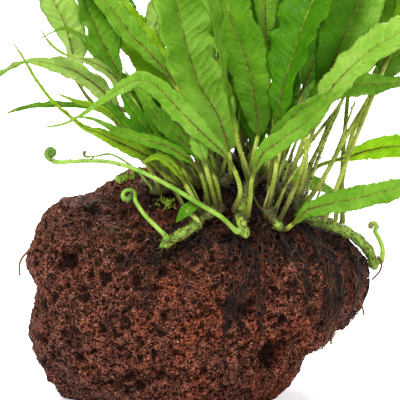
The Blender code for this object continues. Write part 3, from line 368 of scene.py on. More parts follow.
# A cut stub, then stalks on the right whose blades are hidden: radius at the foot, and points
STALKS = (
    (0.90, ((5, 63.5, 42), (3.2, 65.4, 45), (0.8, 67.6, 46.5))),
    (0.80, ((30.2, 73.1, 24), (37.1, 81.4, 20), (43.2, 89.7, 16), (56.9, 106.6, 8))),
    (0.75, ((39.6, 75, 20), (47.9, 89.7, 15), (52.2, 99.7, 12), (57.5, 108.5, 8))),
    (0.40, ((41.8, 72, 22), (43.9, 79.2, 20), (47.2, 87.5, 18))),
    (0.70, ((35.3, 74.9, 16), (41.4, 89.3, 10), (49.3, 103.7, 6), (54.5, 111, 4))),
    (0.70, ((33.1, 71.3, 26), (36.7, 83.9, 22), (42.5, 98.3, 18), (46.5, 107, 15))),
    (0.75, ((41.4, 66.5, 24), (45, 78.5, 22), (50.4, 92.9, 18), (55.5, 104, 12))),
    (0.60, ((27.7, 66.6, 33), (31.3, 78.5, 30), (35.6, 92.9, 26), (39.5, 103, 22))),
    (0.50, ((31, 68, 30), (33.5, 80, 26), (39, 94, 22), (42, 102, 20))),
    (0.65, ((24, 78, 20), (28, 92, 12), (31, 106, 6), (33, 116, 2))),
    (0.50, ((45.7, 68, 20), (50.3, 79, 17), (56.5, 94, 13), (61.5, 107, 9))),
)
# Small fronds of the thicket: how many, and the places that their feet and their tips lie between
SMALL_FRONDS = (
    ("left", 11, (-6.0, 75.0, 28.0), (6.0, 78.0, 33.0), (-27.0, 92.0, 22.0), (-7.0, 112.0, 34.0)),
    ("middle", 5, (8.0, 78.0, 24.0), (20.0, 82.0, 32.0), (0.0, 100.0, 8.0), (18.0, 116.0, 22.0)),
    ("right", 5, (26.0, 76.0, 20.0), (36.0, 78.0, 26.0), (34.0, 104.0, 2.0), (44.0, 122.0, 12.0)),
)
# More small fronds: a young leaf over the stone, a curled one, three that fill gaps on the left, and two
# that show only as dark strips between the large ones
BETWEEN = (
    Frond("frond_young", 0.15, 2.3, 0.5, 0.8, 12, (20, 30), (
        (7, 69, 42), (4, 70, 45), (0.5, 67.2, 46), (-3, 63.6, 45))),
    Frond("frond_curled", 0.6, 2.9, 0.62, 0.5, 14, (0, 25), (
        (11, 71, 44), (8.5, 79, 50), (6.5, 86, 55), (4.5, 91.5, 57), (2.4, 95.5, 57))),
    Frond("frond_fill_high", 0.3, 2.8, 0.5, 0.8, 16, (10, 30), (
        (1, 75, 40), (-4, 83, 43), (-12, 94, 46), (-18.5, 103, 46.5), (-23.5, 111, 46))),
    Frond("frond_fill_middle", 0.3, 2.6, 0.5, 0.8, 16, (20, 0), (
        (3, 75, 40), (-1.5, 83, 45), (-7, 92.5, 47), (-11.5, 101, 47.5), (-15.6, 109, 47))),
    Frond("frond_fill_low", 0.3, 2.4, 0.5, 0.8, 16, (-20, 10), (
        (-1, 75, 37), (-7, 83, 39), (-15.5, 92.3, 41), (-23, 100.5, 41), (-29.5, 107, 40))),
    Frond("frond_behind_right", 0.3, 4.4, 0.6, 0.7, 14, (10, -10, 0), (
        (32, 76, 16), (35, 93, 9), (39, 112, 3), (43, 132, -2), (45, 150, -6))),
    Frond("frond_behind_middle", 0.3, 4.0, 0.55, 0.7, 14, (-10, 0, 10), (
        (20, 80, 18), (19.5, 95, 11), (18, 114, 5), (16.5, 132, 1), (15, 148, -2))),
)
# Tufts of moss on the stone: right, up, reach, and how many leaflets
MOSS = ((-18.5, 79.5, 1.8, 34), (-22.0, 79.0, 1.2, 14), (-5.5, 70.0, 1.4, 22), (-9.5, 70.5, 1.0, 10),
        (3.0, 71.0, 1.2, 12))
MOSS_SIZE = 2.3
# Crumbs of soil around each point of the rhizomes: reach, how many, size
CRUMBS = (4.0, 30, 1.4)
# Loose roots that creep away from each point of the rhizomes: how many, and their shortest and longest
CREEPERS = 2
CREEPER_LENGTH = (8.0, 34.0)

# Seed of all that is scattered one by one, and where the seeds of stalks and small fronds begin
SCATTER_SEED = 7
STALK_SEED = 30
SMALL_FROND_SEED = 60

FLOOR_HALF = 3.0
WORLD_STRENGTH = 0.42
BACKDROP_STRENGTH = 1.0
# Share of its own white that the floor adds where the camera sees it
FLOOR_LIFT = 0.55
# Area lights: name, place in metres, side, power
LIGHTS = (
    ("key", (-0.55, -0.75, 1.25), 0.5, 30.0),
    ("back", (0.25, 0.8, 1.0), 0.7, 26.0),
    ("fill", (0.9, -0.9, 0.5), 0.8, 7.0),
)

# Which fronds wear each tone; the rest are green
TONED = {
    "deep": ("frond_behind_right", "frond_behind_middle", "frond_young", "frond_fill_high",
             "frond_fill_low", "frond_left_wavy", "frond_left_back", "frond_middle_behind",
             "frond_middle_back", "frond_back_left_tall", "frond_back_right_tall", "frond_thicket_left",
             "frond_thicket_middle", "frond_thicket_right", "frond_tall_right"),
    "halved": ("frond_right_dark",),
    "leaf": ("frond_fill_middle", "frond_tall_middle", "frond_left_dark", "frond_under_arch",
             "frond_low_dark"),
    "soft": ("frond_tall_left", "frond_big_arch", "frond_curled"),
    "bright": ("frond_right_bright",),
    "sunlit": ("frond_right_mid",),
    "pale": ("frond_pale", "frond_left_tall", "frond_left_slim", "frond_left_arch"),
    "lime": ("frond_slant_behind", "frond_left_thread", "frond_left_sweep", "frond_low_pale",
             "frond_right_outer"),
}
# Blade colour, its lighter patches, and how much light the blade lets through; one tone has the soft colours
# painted on its right half, as painted light
TONES = {
    "deep": ((0.034, 0.155, 0.0005), (0.085, 0.265, 0.003), 0.25),
    "halved": ((0.034, 0.155, 0.0005), (0.085, 0.265, 0.003), 0.25),
    "leaf": ((0.066, 0.215, 0.003), (0.15, 0.35, 0.014), 0.28),
    "green": ((0.10, 0.27, 0.006), (0.21, 0.42, 0.032), 0.32),
    "soft": ((0.13, 0.325, 0.011), (0.265, 0.49, 0.055), 0.32),
    "bright": ((0.19, 0.42, 0.02), (0.38, 0.58, 0.10), 0.34),
    # Painted light: a lighter copy of the greens for a frond that stands in shade
    "sunlit": ((0.34, 0.68, 0.004), (0.55, 0.85, 0.03), 0.42),
    "pale": ((0.29, 0.48, 0.055), (0.47, 0.61, 0.18), 0.4),
    "lime": ((0.17, 0.38, 0.004), (0.33, 0.52, 0.02), 0.38),
}
# Young stalks: colour, its lighter patches, the tip's colour, share of freckles, and soil with painted shade
# at the foot
SHOOTS = {
    "shoot": ((0.11, 0.25, 0.012), (0.25, 0.40, 0.05), (0.035, 0.13, 0.008), 0.1, 0.1),
    "brown_shoot": ((0.13, 0.28, 0.012), (0.27, 0.42, 0.05), (0.22, 0.10, 0.035), 0.14, 0.1),
    "stalk": ((0.06, 0.085, 0.005), (0.26, 0.33, 0.04), (0.09, 0.05, 0.015), 0.4, 0.95),
    "pale_stalk": ((0.24, 0.33, 0.025), (0.52, 0.60, 0.14), (0.12, 0.07, 0.02), 0.3, 0.5),
}
# Scales, hairs and bits: darkest colour, lightest colour, roughness
BITS = {
    "moss": ((0.08, 0.19, 0.010), (0.36, 0.52, 0.06), 0.45),
    "crumb": ((0.008, 0.005, 0.003), (0.09, 0.04, 0.02), 0.4),
    "scale": ((0.025, 0.009, 0.005), (0.11, 0.04, 0.018), 0.5),
    "hair": ((0.10, 0.05, 0.012), (0.40, 0.28, 0.09), 0.5),
}


# Places

def drawn_to_frame(places):
    """Metres in the frame for rows of (right, up, front) in millimetres."""
    right, up, front = np.asarray(places, float).T
    return np.stack([
        right,
        up * math.sin(LEAN) - front * math.cos(LEAN),
        up * math.cos(LEAN) + front * math.sin(LEAN),
    ], axis=1) * MM


def frame_to_drawn(places):
    """The reverse of drawn_to_frame."""
    x, y, z = np.asarray(places, float).T / MM
    return np.stack([
        x,
        y * math.sin(LEAN) + z * math.cos(LEAN),
        z * math.sin(LEAN) - y * math.cos(LEAN),
    ], axis=1)


def drawn_tree(mesh):
    """Surface of a mesh in the drawing's axes, for finding the nearest place on it."""
    places = frame_to_drawn([v.co for v in mesh.vertices])
    return BVHTree.FromPolygons([Vector(p) for p in places], [p.vertices[:] for p in mesh.polygons])


def catmull_rom(points, share):
    """Point at share (0 to 1) of a smooth curve through the points."""
    spans = len(points) - 1
    place = min(max(share, 0.0), 1.0) * spans
    i = min(int(place), spans - 1)
    t = place - i
    b, c = points[i], points[i + 1]
    a = points[i - 1] if i else b * 2 - c
    d = points[i + 2] if i + 2 < len(points) else c * 2 - b
    return 0.5 * (2 * b + (c - a) * t + (2 * a - 5 * b + 4 * c - d) * t**2 + (3 * b - a - 3 * c + d) * t**3)


class Curve:
    """Evenly measured curve through drawn points."""

    def __init__(self, points):
        points = [np.array(p, float) for p in points]
        count = CURVE_STEPS * (len(points) - 1)
        self.places = np.array([catmull_rom(points, k / count) for k in range(count + 1)])
        steps = np.linalg.norm(np.diff(self.places, axis=0), axis=1)
        self.lengths = np.concatenate([[0.0], np.cumsum(steps)])
        self.length = self.lengths[-1]

    def at(self, lengths):
        """Places and unit directions at the given lengths."""
        place = np.stack([np.interp(lengths, self.lengths, self.places[:, k]) for k in range(3)], axis=1)
        slope = np.gradient(self.places, self.lengths, axis=0)
        along = np.stack([np.interp(lengths, self.lengths, slope[:, k]) for k in range(3)], axis=1)
        return place, along / np.linalg.norm(along, axis=1)[:, None]


def start_on(trees, point, clear):
    """Places on and next to the nearest rhizome from which a stalk that begins near point grows."""
    found = min((tree.find_nearest(Vector(point)) for tree in trees), key=lambda hit: hit[3])
    away = (Vector(point) - found[0]).normalized()
    return found[0], found[0] + away * clear


# Trees of nodes, for shapes and for finishes

class Term:
    """A value in a tree that takes part in sums, so that the tree reads like the rule it follows."""

    def __init__(self, recipe, socket):
        self.recipe = recipe
        self.socket = socket

    def __add__(self, other):
        return self.recipe.maths("ADD", self, other)

    def __sub__(self, other):
        return self.recipe.maths("SUBTRACT", self, other)

    def __rsub__(self, other):
        return self.recipe.maths("SUBTRACT", other, self)

    def __mul__(self, other):
        return self.recipe.maths("MULTIPLY", self, other)

    def __truediv__(self, other):
        return self.recipe.maths("DIVIDE", self, other)

    def __rtruediv__(self, other):
        return self.recipe.maths("DIVIDE", other, self)

    def __pow__(self, other):
        return self.recipe.maths("POWER", self, other)

    def __abs__(self):
        return self.recipe.maths("ABSOLUTE", self)

    __radd__ = __add__
    __rmul__ = __mul__


class Recipe:
    """Adds nodes to a tree and joins them."""

    def __init__(self, tree):
        self.tree = tree

    def node(self, kind, inputs=None, **settings):
        made = self.tree.nodes.new(kind)
        for key, value in settings.items():
            setattr(made, key, value)
        for key, value in (inputs or {}).items():
            if isinstance(value, Term):
                self.tree.links.new(value.socket, made.inputs[key])
            elif isinstance(value, tuple) and made.inputs[key].type == "RGBA" and len(value) == 3:
                made.inputs[key].default_value = (*value, 1.0)
            else:
                made.inputs[key].default_value = value
        return made

    def get(self, kind, output=0, inputs=None, **settings):
        """One output of a new node."""
        return Term(self, self.node(kind, inputs, **settings).outputs[output])

    def maths(self, operation, *values):
        return self.get("ShaderNodeMath", 0, dict(enumerate(values)), operation=operation)

    def vector(self, operation, *values):
        return self.get("ShaderNodeVectorMath", 0, dict(enumerate(values)), operation=operation)

    def scaled(self, vector, factor):
        return self.get("ShaderNodeVectorMath", 0, {0: vector, "Scale": factor}, operation="SCALE")

    def least(self, first, second):
        return self.maths("MINIMUM", first, second)

    def most(self, first, second):
        return self.maths("MAXIMUM", first, second)

    def rise(self, value, low, high):
        """0 below low and 1 above high, smoothly between; low may be above high."""
        return self.get("ShaderNodeMapRange", 0, {0: value, 1: low, 2: high}, interpolation_type="SMOOTHSTEP")

    def between(self, share, first, second):
        """The value at a share of the way from first to second."""
        return self.get("ShaderNodeMix", 0, {0: share, 2: first, 3: second}, data_type="FLOAT")

    def blend(self, share, first, second):
        """The colour at a share of the way from first to second."""
        return self.get("ShaderNodeMix", 2, {0: share, 6: first, 7: second}, data_type="RGBA")

    def wave(self, value, phase):
        """Smooth uneven wave between about -1 and 1 along a value."""
        spot = value + self.maths("MULTIPLY", phase, 17.3)
        grain = self.get("ShaderNodeTexNoise", 0, {
            "W": spot, "Scale": 1.0, "Detail": 0.0}, noise_dimensions="1D")
        return (grain - 0.5) * 3.0

    def cloud(self, place, size, detail=2.0, output=0, roughness=0.55):
        """Cloudy noise with patches of about the given size."""
        inputs = {"Vector": place, "Scale": 1.0 / size, "Detail": detail, "Roughness": roughness}
        return self.get("ShaderNodeTexNoise", output, inputs)

    def group(self, tree, inputs):
        """A group of nodes placed in this tree; its outputs are read by name with of()."""
        kind = "ShaderNodeGroup" if tree.bl_idname == "ShaderNodeTree" else "GeometryNodeGroup"
        return self.node(kind, inputs, node_tree=tree)

    def of(self, node, output):
        return Term(self, node.outputs[output])


SOCKETS = {
    "float": "NodeSocketFloat", "place": "NodeSocketVector", "count": "NodeSocketInt",
    "shape": "NodeSocketGeometry", "object": "NodeSocketObject", "finish": "NodeSocketMaterial",
}


def new_group(name, kind, inputs, outputs):
    """An empty group with named sockets: its recipe, its inputs by name and its output node."""
    tree = bpy.data.node_groups.new(name, kind)
    for side, sockets in (("INPUT", inputs), ("OUTPUT", outputs)):
        for label, what in sockets.items():
            tree.interface.new_socket(name=label, in_out=side, socket_type=SOCKETS[what])
    recipe = Recipe(tree)
    given = tree.nodes.new("NodeGroupInput")
    result = tree.nodes.new("NodeGroupOutput")
    return recipe, {label: Term(recipe, given.outputs[label]) for label in inputs}, result


def put_out(recipe, result, outputs):
    """Join the group's results to its named outputs, and give back its tree."""
    for label, term in outputs.items():
        recipe.tree.links.new(term.socket, result.inputs[label])
    return recipe.tree


# Meshes

def new_piece(name, mesh):
    obj = bpy.data.objects.new(name, mesh)
    bpy.context.scene.collection.objects.link(obj)
    return obj


def plain_mesh(name, places, edges=(), faces=(), values=None):
    """Mesh from rows of places, with a point attribute for each named row of values."""
    mesh = bpy.data.meshes.new(name)
    mesh.from_pydata([tuple(p) for p in places], [tuple(e) for e in edges], [tuple(f) for f in faces])
    for key, rows in (values or {}).items():
        rows = np.asarray(rows, float)
        kind, field = ("FLOAT", "value") if rows.ndim == 1 else ("FLOAT_VECTOR", "vector")
        mesh.attributes.new(key, kind, "POINT").data.foreach_set(field, rows.ravel())
    mesh.update()
    return mesh


def thread(name, runs):
    """Mesh of open lines: each run is its drawn places and a dict of its values."""
    places, edges, values = [], [], {}
    for run, more in runs:
        first = len(places)
        places.extend(run)
        edges.extend((first + k, first + k + 1) for k in range(len(run) - 1))
        for key, rows in more.items():
            values.setdefault(key, []).extend(rows)
    return plain_mesh(name, drawn_to_frame(places), edges=edges, values=values)


def grown(name, mesh, tree, settings):
    """Piece that a tree makes from a mesh, as a plain mesh."""
    obj = new_piece(name, mesh)
    modifier = obj.modifiers.new("growth", "NODES")
    modifier.node_group = tree
    for item in tree.interface.items_tree:
        if item.in_out == "INPUT" and item.name in settings:
            modifier[item.identifier] = settings[item.name]
    depsgraph = bpy.context.evaluated_depsgraph_get()
    made = bpy.data.meshes.new_from_object(obj.evaluated_get(depsgraph), depsgraph=depsgraph)
    made.name = name
    obj.modifiers.clear()
    obj.data = made
    bpy.data.meshes.remove(mesh)
    return obj


def guide_object(name, mesh):
    """Object that trees read a shape from, and that is no piece of the fern."""
    return bpy.data.objects.new(name, mesh)


def flake_mesh():
    """Pointed scale, as on a rib: 1 long in Y, growing from the origin."""
    places = [(0, -0.1, 0), (-0.28, 0.25, 0.10), (0.28, 0.25, 0.10), (0, 0.3, 0.22), (0, 0.25, 0.0),
              (0, 1.0, 0.42)]
    faces = [(0, 2, 3), (0, 3, 1), (0, 1, 4), (0, 4, 2), (2, 5, 3), (3, 5, 1), (1, 5, 4), (4, 5, 2)]
    return plain_mesh("scale_shape", places, faces=faces)


def hair_mesh():
    """Thin bent hair, 1 high in Z."""
    radius = 0.035
    places, faces = [], []
    for level, (lean, height, share) in enumerate(((0.0, -0.1, 1.0), (0.08, 0.45, 0.8))):
        for k in range(3):
            angle = math.tau * k / 3
            places.append((radius * share * math.cos(angle), lean + radius * share * math.sin(angle), height))
    places.append((0.0, 0.4, 1.0))
    for k in range(3):
        after = (k + 1) % 3
        faces.append((k, after, 3 + after, 3 + k))
        faces.append((3 + k, 3 + after, 6))
    faces.append((2, 1, 0))
    return plain_mesh("hair_shape", places, faces=faces)


# What repeats on a surface or follows a path

def named(recipe, name, kind="FLOAT"):
    return recipe.get("GeometryNodeInputNamedAttribute", 0, {"Name": name}, data_type=kind)


def stored(recipe, shape, name, value, kind="FLOAT"):
    return recipe.get("GeometryNodeStoreNamedAttribute", 0, {
        "Geometry": shape, "Name": name, "Value": value}, data_type=kind, domain="POINT")


def ring(recipe, around):
    """Circle of 1 mm radius that a skin around a line is drawn with."""
    return recipe.get("GeometryNodeCurvePrimitiveCircle", 0, {"Resolution": around, "Radius": MM})


def smooth(recipe, shape):
    return recipe.get("GeometryNodeSetShadeSmooth", 0, {"Geometry": shape, "Shade Smooth": True})


def coated(recipe, shape, finish):
    return recipe.get("GeometryNodeSetMaterial", 0, {"Geometry": shape, "Material": finish})


def scatter_tree():
    """Small shapes over a surface, thickest where its scaly value is 1, pointing along its growth."""
    recipe, given, result = new_group("Scattered scales", "GeometryNodeTree", {
        "Surface": "shape", "Shape": "object", "Per mm2": "float", "Size mm": "float", "Seed": "count",
        "Finish": "finish"}, {"Scales": "shape"})
    spots = recipe.node("GeometryNodeDistributePointsOnFaces", {
        "Mesh": given["Surface"], "Density": named(recipe, "scaly") * given["Per mm2"] * 1e6,
        "Seed": given["Seed"]})
    swing = recipe.get("FunctionNodeRandomValue", 0, {0: (-0.5, -0.5, -0.5), 1: (0.5, 0.5, 0.5)},
                       data_type="FLOAT_VECTOR")
    heading = recipe.vector("ADD", named(recipe, "growth", "FLOAT_VECTOR"), swing)
    turned = recipe.get("FunctionNodeAlignRotationToVector", 0, {
        "Rotation": recipe.of(spots, "Rotation"), "Vector": heading}, axis="Y", pivot_axis="Z")
    chance = recipe.get("FunctionNodeRandomValue", 1, {2: 0.45, 3: 1.3}, data_type="FLOAT")
    shape = recipe.get("GeometryNodeObjectInfo", "Geometry", {"Object": given["Shape"]})
    placed = recipe.get("GeometryNodeInstanceOnPoints", 0, {
        "Points": recipe.of(spots, "Points"), "Instance": shape, "Rotation": turned,
        "Scale": given["Size mm"] * chance * MM})
    tint = recipe.get("FunctionNodeRandomValue", 1, {2: 0.0, 3: 1.0}, data_type="FLOAT")
    placed = recipe.get("GeometryNodeStoreNamedAttribute", 0, {
        "Geometry": placed, "Name": "tint", "Value": tint}, data_type="FLOAT", domain="INSTANCE")
    real = recipe.get("GeometryNodeRealizeInstances", 0, {"Geometry": placed})
    return put_out(recipe, result, {"Scales": coated(recipe, real, given["Finish"])})


def scaled_over(recipe, given, skin, scatter, hairs):
    """The skin with scales scattered over it, and hairs that wear the given inputs, as one real shape."""
    flakes = recipe.group(scatter, {
        "Surface": skin, "Shape": given["Scale"], "Per mm2": given["Scales per mm2"], "Size mm": 1.0,
        "Seed": given["Seed"], "Finish": given["Scale finish"]})
    hairs = recipe.group(scatter, {"Surface": skin, "Shape": given["Hair"], **hairs})
    joined = recipe.node("GeometryNodeJoinGeometry")
    for shape in (recipe.of(hairs, 0), recipe.of(flakes, 0), skin):
        recipe.tree.links.new(shape.socket, joined.inputs[0])
    return recipe.get("GeometryNodeRealizeInstances", 0, {"Geometry": recipe.of(joined, 0)})


def where_on_frond(recipe, given):
    """Where a point of the skin is: column from -1 to 1 across it, its side, and its share of the blade."""
    turn = named(recipe, "turn") * 2.0
    upper = 1.0 - recipe.maths("GREATER_THAN", turn, 1.0001)
    column = 1.0 - 2.0 * recipe.between(upper, 2.0 - turn, turn)
    way = recipe.maths("SIGN", column)
    along = named(recipe, "along")
    t = along / given["Blade length"]
    return SimpleNamespace(
        upper=upper, column=column, way=way, edge=abs(column), along=along, t=t,
        within=recipe.least(recipe.most(t, 0.0), 1.0), open_blade=recipe.rise(t, -0.04, 0.10),
        stalk=recipe.most(0.0 - named(recipe, "share"), 0.0), phase=given["Seed"] * 3.0 + way)


def frond_widths(recipe, given, at):
    """Adds the radius of the rib, the blade's share of its half width, its thin end and how far out it is."""
    rib = given["Rib at foot"] + (given["Rib at tip"] - given["Rib at foot"]) * at.within
    rib = rib + 0.1 * (1.0 - recipe.rise(at.t, 0.0, 0.15)) + given["Stalk swelling"] * at.stalk
    at.rib = rib + 0.2 * recipe.rise(at.stalk, 0.95, 1.08)
    wide = recipe.most(recipe.maths("SINE", math.pi * at.within ** given["Widest power"]), 0.0)
    at.wide = wide ** given["Slimness"]

    # Teeth and lobes of the edge
    bite = math.pi * (at.along / given["Tooth length"] + 1.2 * recipe.wave(at.along / 6.0, at.phase))
    tooth = abs(recipe.maths("SINE", bite))
    tooth = (tooth - 0.6 + 0.5 * recipe.wave(at.along / 1.1, at.phase + 5.0)) * given["Tooth depth"]
    tooth = tooth + given["Lobe depth"] * recipe.wave(at.along / given["Lobe length"], at.phase + 12.0)
    tooth = tooth * recipe.least(at.wide * 1.4, 1.0) * recipe.least(given["Half width"] / 5.0 + 0.25, 1.0)

    tail = recipe.maths("SQRT", recipe.most(1.0 - at.within ** 7.0, 0.0))
    tail = given["Tail half width"] * tail * at.open_blade
    at.tail = tail * (1.0 + 0.3 * recipe.wave(at.along / 2.5, at.phase + 15.0))
    width = 1.0 + 0.07 * recipe.wave(at.along / 14.0, at.phase + 9.0)
    width = given["Half width"] * at.wide * width + tooth
    width = recipe.most(recipe.most(width, at.tail), at.rib * 1.04)
    round_out = recipe.maths("SINE", at.column * (math.pi / 2))
    at.across = recipe.between(at.open_blade, round_out, at.way * at.edge ** 1.4) * width


def frond_height(recipe, given, at):
    """Adds the phase of the side veins and how far a point stands out of the blade's plane."""
    swell = at.along / given["Ruffle length"] + 0.35 * recipe.wave(at.along / 19.0, at.phase + 2.0)
    ruffle = recipe.maths("SINE", math.tau * swell + at.phase) * given["Ruffle share"]
    ruffle = ruffle * given["Half width"] * recipe.least(at.wide * 1.2, 1.0)
    fold = given["Fold"] * recipe.least(recipe.most(at.t * 6.0, 0.0), 1.0)
    fold = fold * (0.9 + 0.5 * recipe.wave(at.along / 30.0, at.phase + 3.0))
    vein = (at.along - abs(at.across) * 0.6) / given["Vein spacing"] + 0.25 * at.way
    at.vein = vein + 0.25 * recipe.wave(at.along / 5.0, at.phase + 7.0)
    pillow = abs(recipe.maths("SINE", math.pi * at.vein)) ** 0.7 * at.edge * (1.0 - at.edge) * 4.0
    pillow = pillow * given["Quilting"] * recipe.least(at.wide * 1.3, 1.0) * at.open_blade
    lift = abs(at.across) * recipe.maths("SINE", fold) + ruffle * at.edge ** 2.4 + pillow

    round_rib = recipe.maths("SQRT", recipe.most(at.rib * at.rib - at.across * at.across, 0.0))
    flat = recipe.most(given["Thickness"] * 0.5, at.tail * 0.45)
    flat = flat * recipe.maths("SQRT", recipe.most(1.0 - at.column * at.column, 0.0)) * at.open_blade
    above = recipe.most(round_rib * (1.0 - 0.5 * at.open_blade), flat) + lift
    below = lift - recipe.most(round_rib, flat)
    at.height = recipe.between(at.upper, below, above)


def frond_tree(scatter):
    """A frond around a midline: its round stalk, its toothed and waved blade, its rib and their scales.

    The midline carries share (-1 at the foot, 0 where the blade starts, 1 at the tip), along (mm from the
    start of the blade) and out (the way that the upper side faces).
    """
    recipe, given, result = new_group("Frond", "GeometryNodeTree", {
        "Midline": "shape", "Half width": "float", "Blade length": "float", "Thickness": "float",
        "Widest power": "float", "Slimness": "float", "Tail half width": "float",
        "Rib at foot": "float", "Rib at tip": "float", "Stalk swelling": "float", "Fold": "float",
        "Tooth length": "float", "Tooth depth": "float", "Lobe length": "float", "Lobe depth": "float",
        "Ruffle length": "float", "Ruffle share": "float", "Vein spacing": "float", "Quilting": "float",
        "Around": "count", "Seed": "count", "Scale": "object", "Hair": "object", "Scales per mm2": "float",
        "Finish": "finish", "Scale finish": "finish"}, {"Frond": "shape"})
    vector = "FLOAT_VECTOR"
    line = recipe.get("GeometryNodeMeshToCurve", 0, {"Mesh": given["Midline"]})
    line = stored(recipe, line, "centre", recipe.get("GeometryNodeInputPosition"), vector)
    line = stored(recipe, line, "growth", recipe.get("GeometryNodeInputTangent"), vector)
    profile = stored(recipe, ring(recipe, given["Around"]), "turn", recipe.get("GeometryNodeSplineParameter"))
    skin = recipe.get("GeometryNodeCurveToMesh", 0, {
        "Curve": line, "Profile Curve": profile, "Fill Caps": True})

    at = where_on_frond(recipe, given)
    frond_widths(recipe, given, at)
    frond_height(recipe, given, at)
    out = named(recipe, "out", vector)
    side = recipe.vector("CROSS_PRODUCT", named(recipe, "growth", vector), out)
    place = recipe.vector("ADD", named(recipe, "centre", vector), recipe.scaled(side, at.across * MM))
    place = recipe.vector("ADD", place, recipe.scaled(out, at.height * MM))
    on_rib = 1.0 - recipe.rise(abs(at.across), at.rib * 0.9, at.rib * 1.6)
    scaly = on_rib * (1.0 - recipe.rise(at.t, 0.3, 0.95)) * (2.6 - 1.0 * at.stalk)
    skin = stored(recipe, skin, "place", place, vector)
    for key, value in {"across": at.across, "rim": at.edge * at.open_blade, "upper": at.upper,
                       "vein": at.vein, "scaly": scaly}.items():
        skin = stored(recipe, skin, key, value)
    skin = recipe.get("GeometryNodeSetPosition", 0, {
        "Geometry": skin, "Position": named(recipe, "place", vector)})
    blade = coated(recipe, smooth(recipe, skin), given["Finish"])
    return put_out(recipe, result, {"Frond": scaled_over(recipe, given, blade, scatter, {
        "Per mm2": given["Scales per mm2"] * 0.25, "Size mm": 1.1, "Seed": given["Seed"] + 50.0,
        "Finish": given["Scale finish"]})})


def stem_tree(scatter):
    """A round lumpy stem around a line that carries its radius and how scaly it is."""
    recipe, given, result = new_group("Stem", "GeometryNodeTree", {
        "Line": "shape", "Around": "count", "Lump size": "float", "Lump height": "float", "Seed": "count",
        "Scale": "object", "Hair": "object", "Scales per mm2": "float", "Hairs per mm2": "float",
        "Hair length": "float", "Finish": "finish", "Scale finish": "finish",
        "Hair finish": "finish"}, {"Stem": "shape"})
    line = recipe.get("GeometryNodeMeshToCurve", 0, {"Mesh": given["Line"]})
    line = stored(recipe, line, "growth", recipe.get("GeometryNodeInputTangent"), "FLOAT_VECTOR")
    skin = recipe.get("GeometryNodeCurveToMesh", 0, {
        "Curve": line, "Profile Curve": ring(recipe, given["Around"]), "Scale": named(recipe, "radius"),
        "Fill Caps": True})
    place = recipe.scaled(recipe.get("GeometryNodeInputPosition"), 1.0 / MM)
    place = recipe.vector("ADD", place, recipe.scaled(
        recipe.get("ShaderNodeCombineXYZ", 0, {0: given["Seed"] * 1.0}), 31.0))
    lump = recipe.cloud(recipe.scaled(place, 1.0 / given["Lump size"]), 1.0, 3.0) - 0.5
    push = recipe.scaled(recipe.get("GeometryNodeInputNormal"), lump * given["Lump height"] * MM)
    skin = stored(recipe, skin, "lump", lump)
    skin = recipe.get("GeometryNodeSetPosition", 0, {"Geometry": skin, "Offset": push})
    stem = coated(recipe, smooth(recipe, skin), given["Finish"])
    return put_out(recipe, result, {"Stem": scaled_over(recipe, given, stem, scatter, {
        "Per mm2": given["Hairs per mm2"], "Size mm": given["Hair length"], "Seed": given["Seed"] + 90.0,
        "Finish": given["Hair finish"]})})


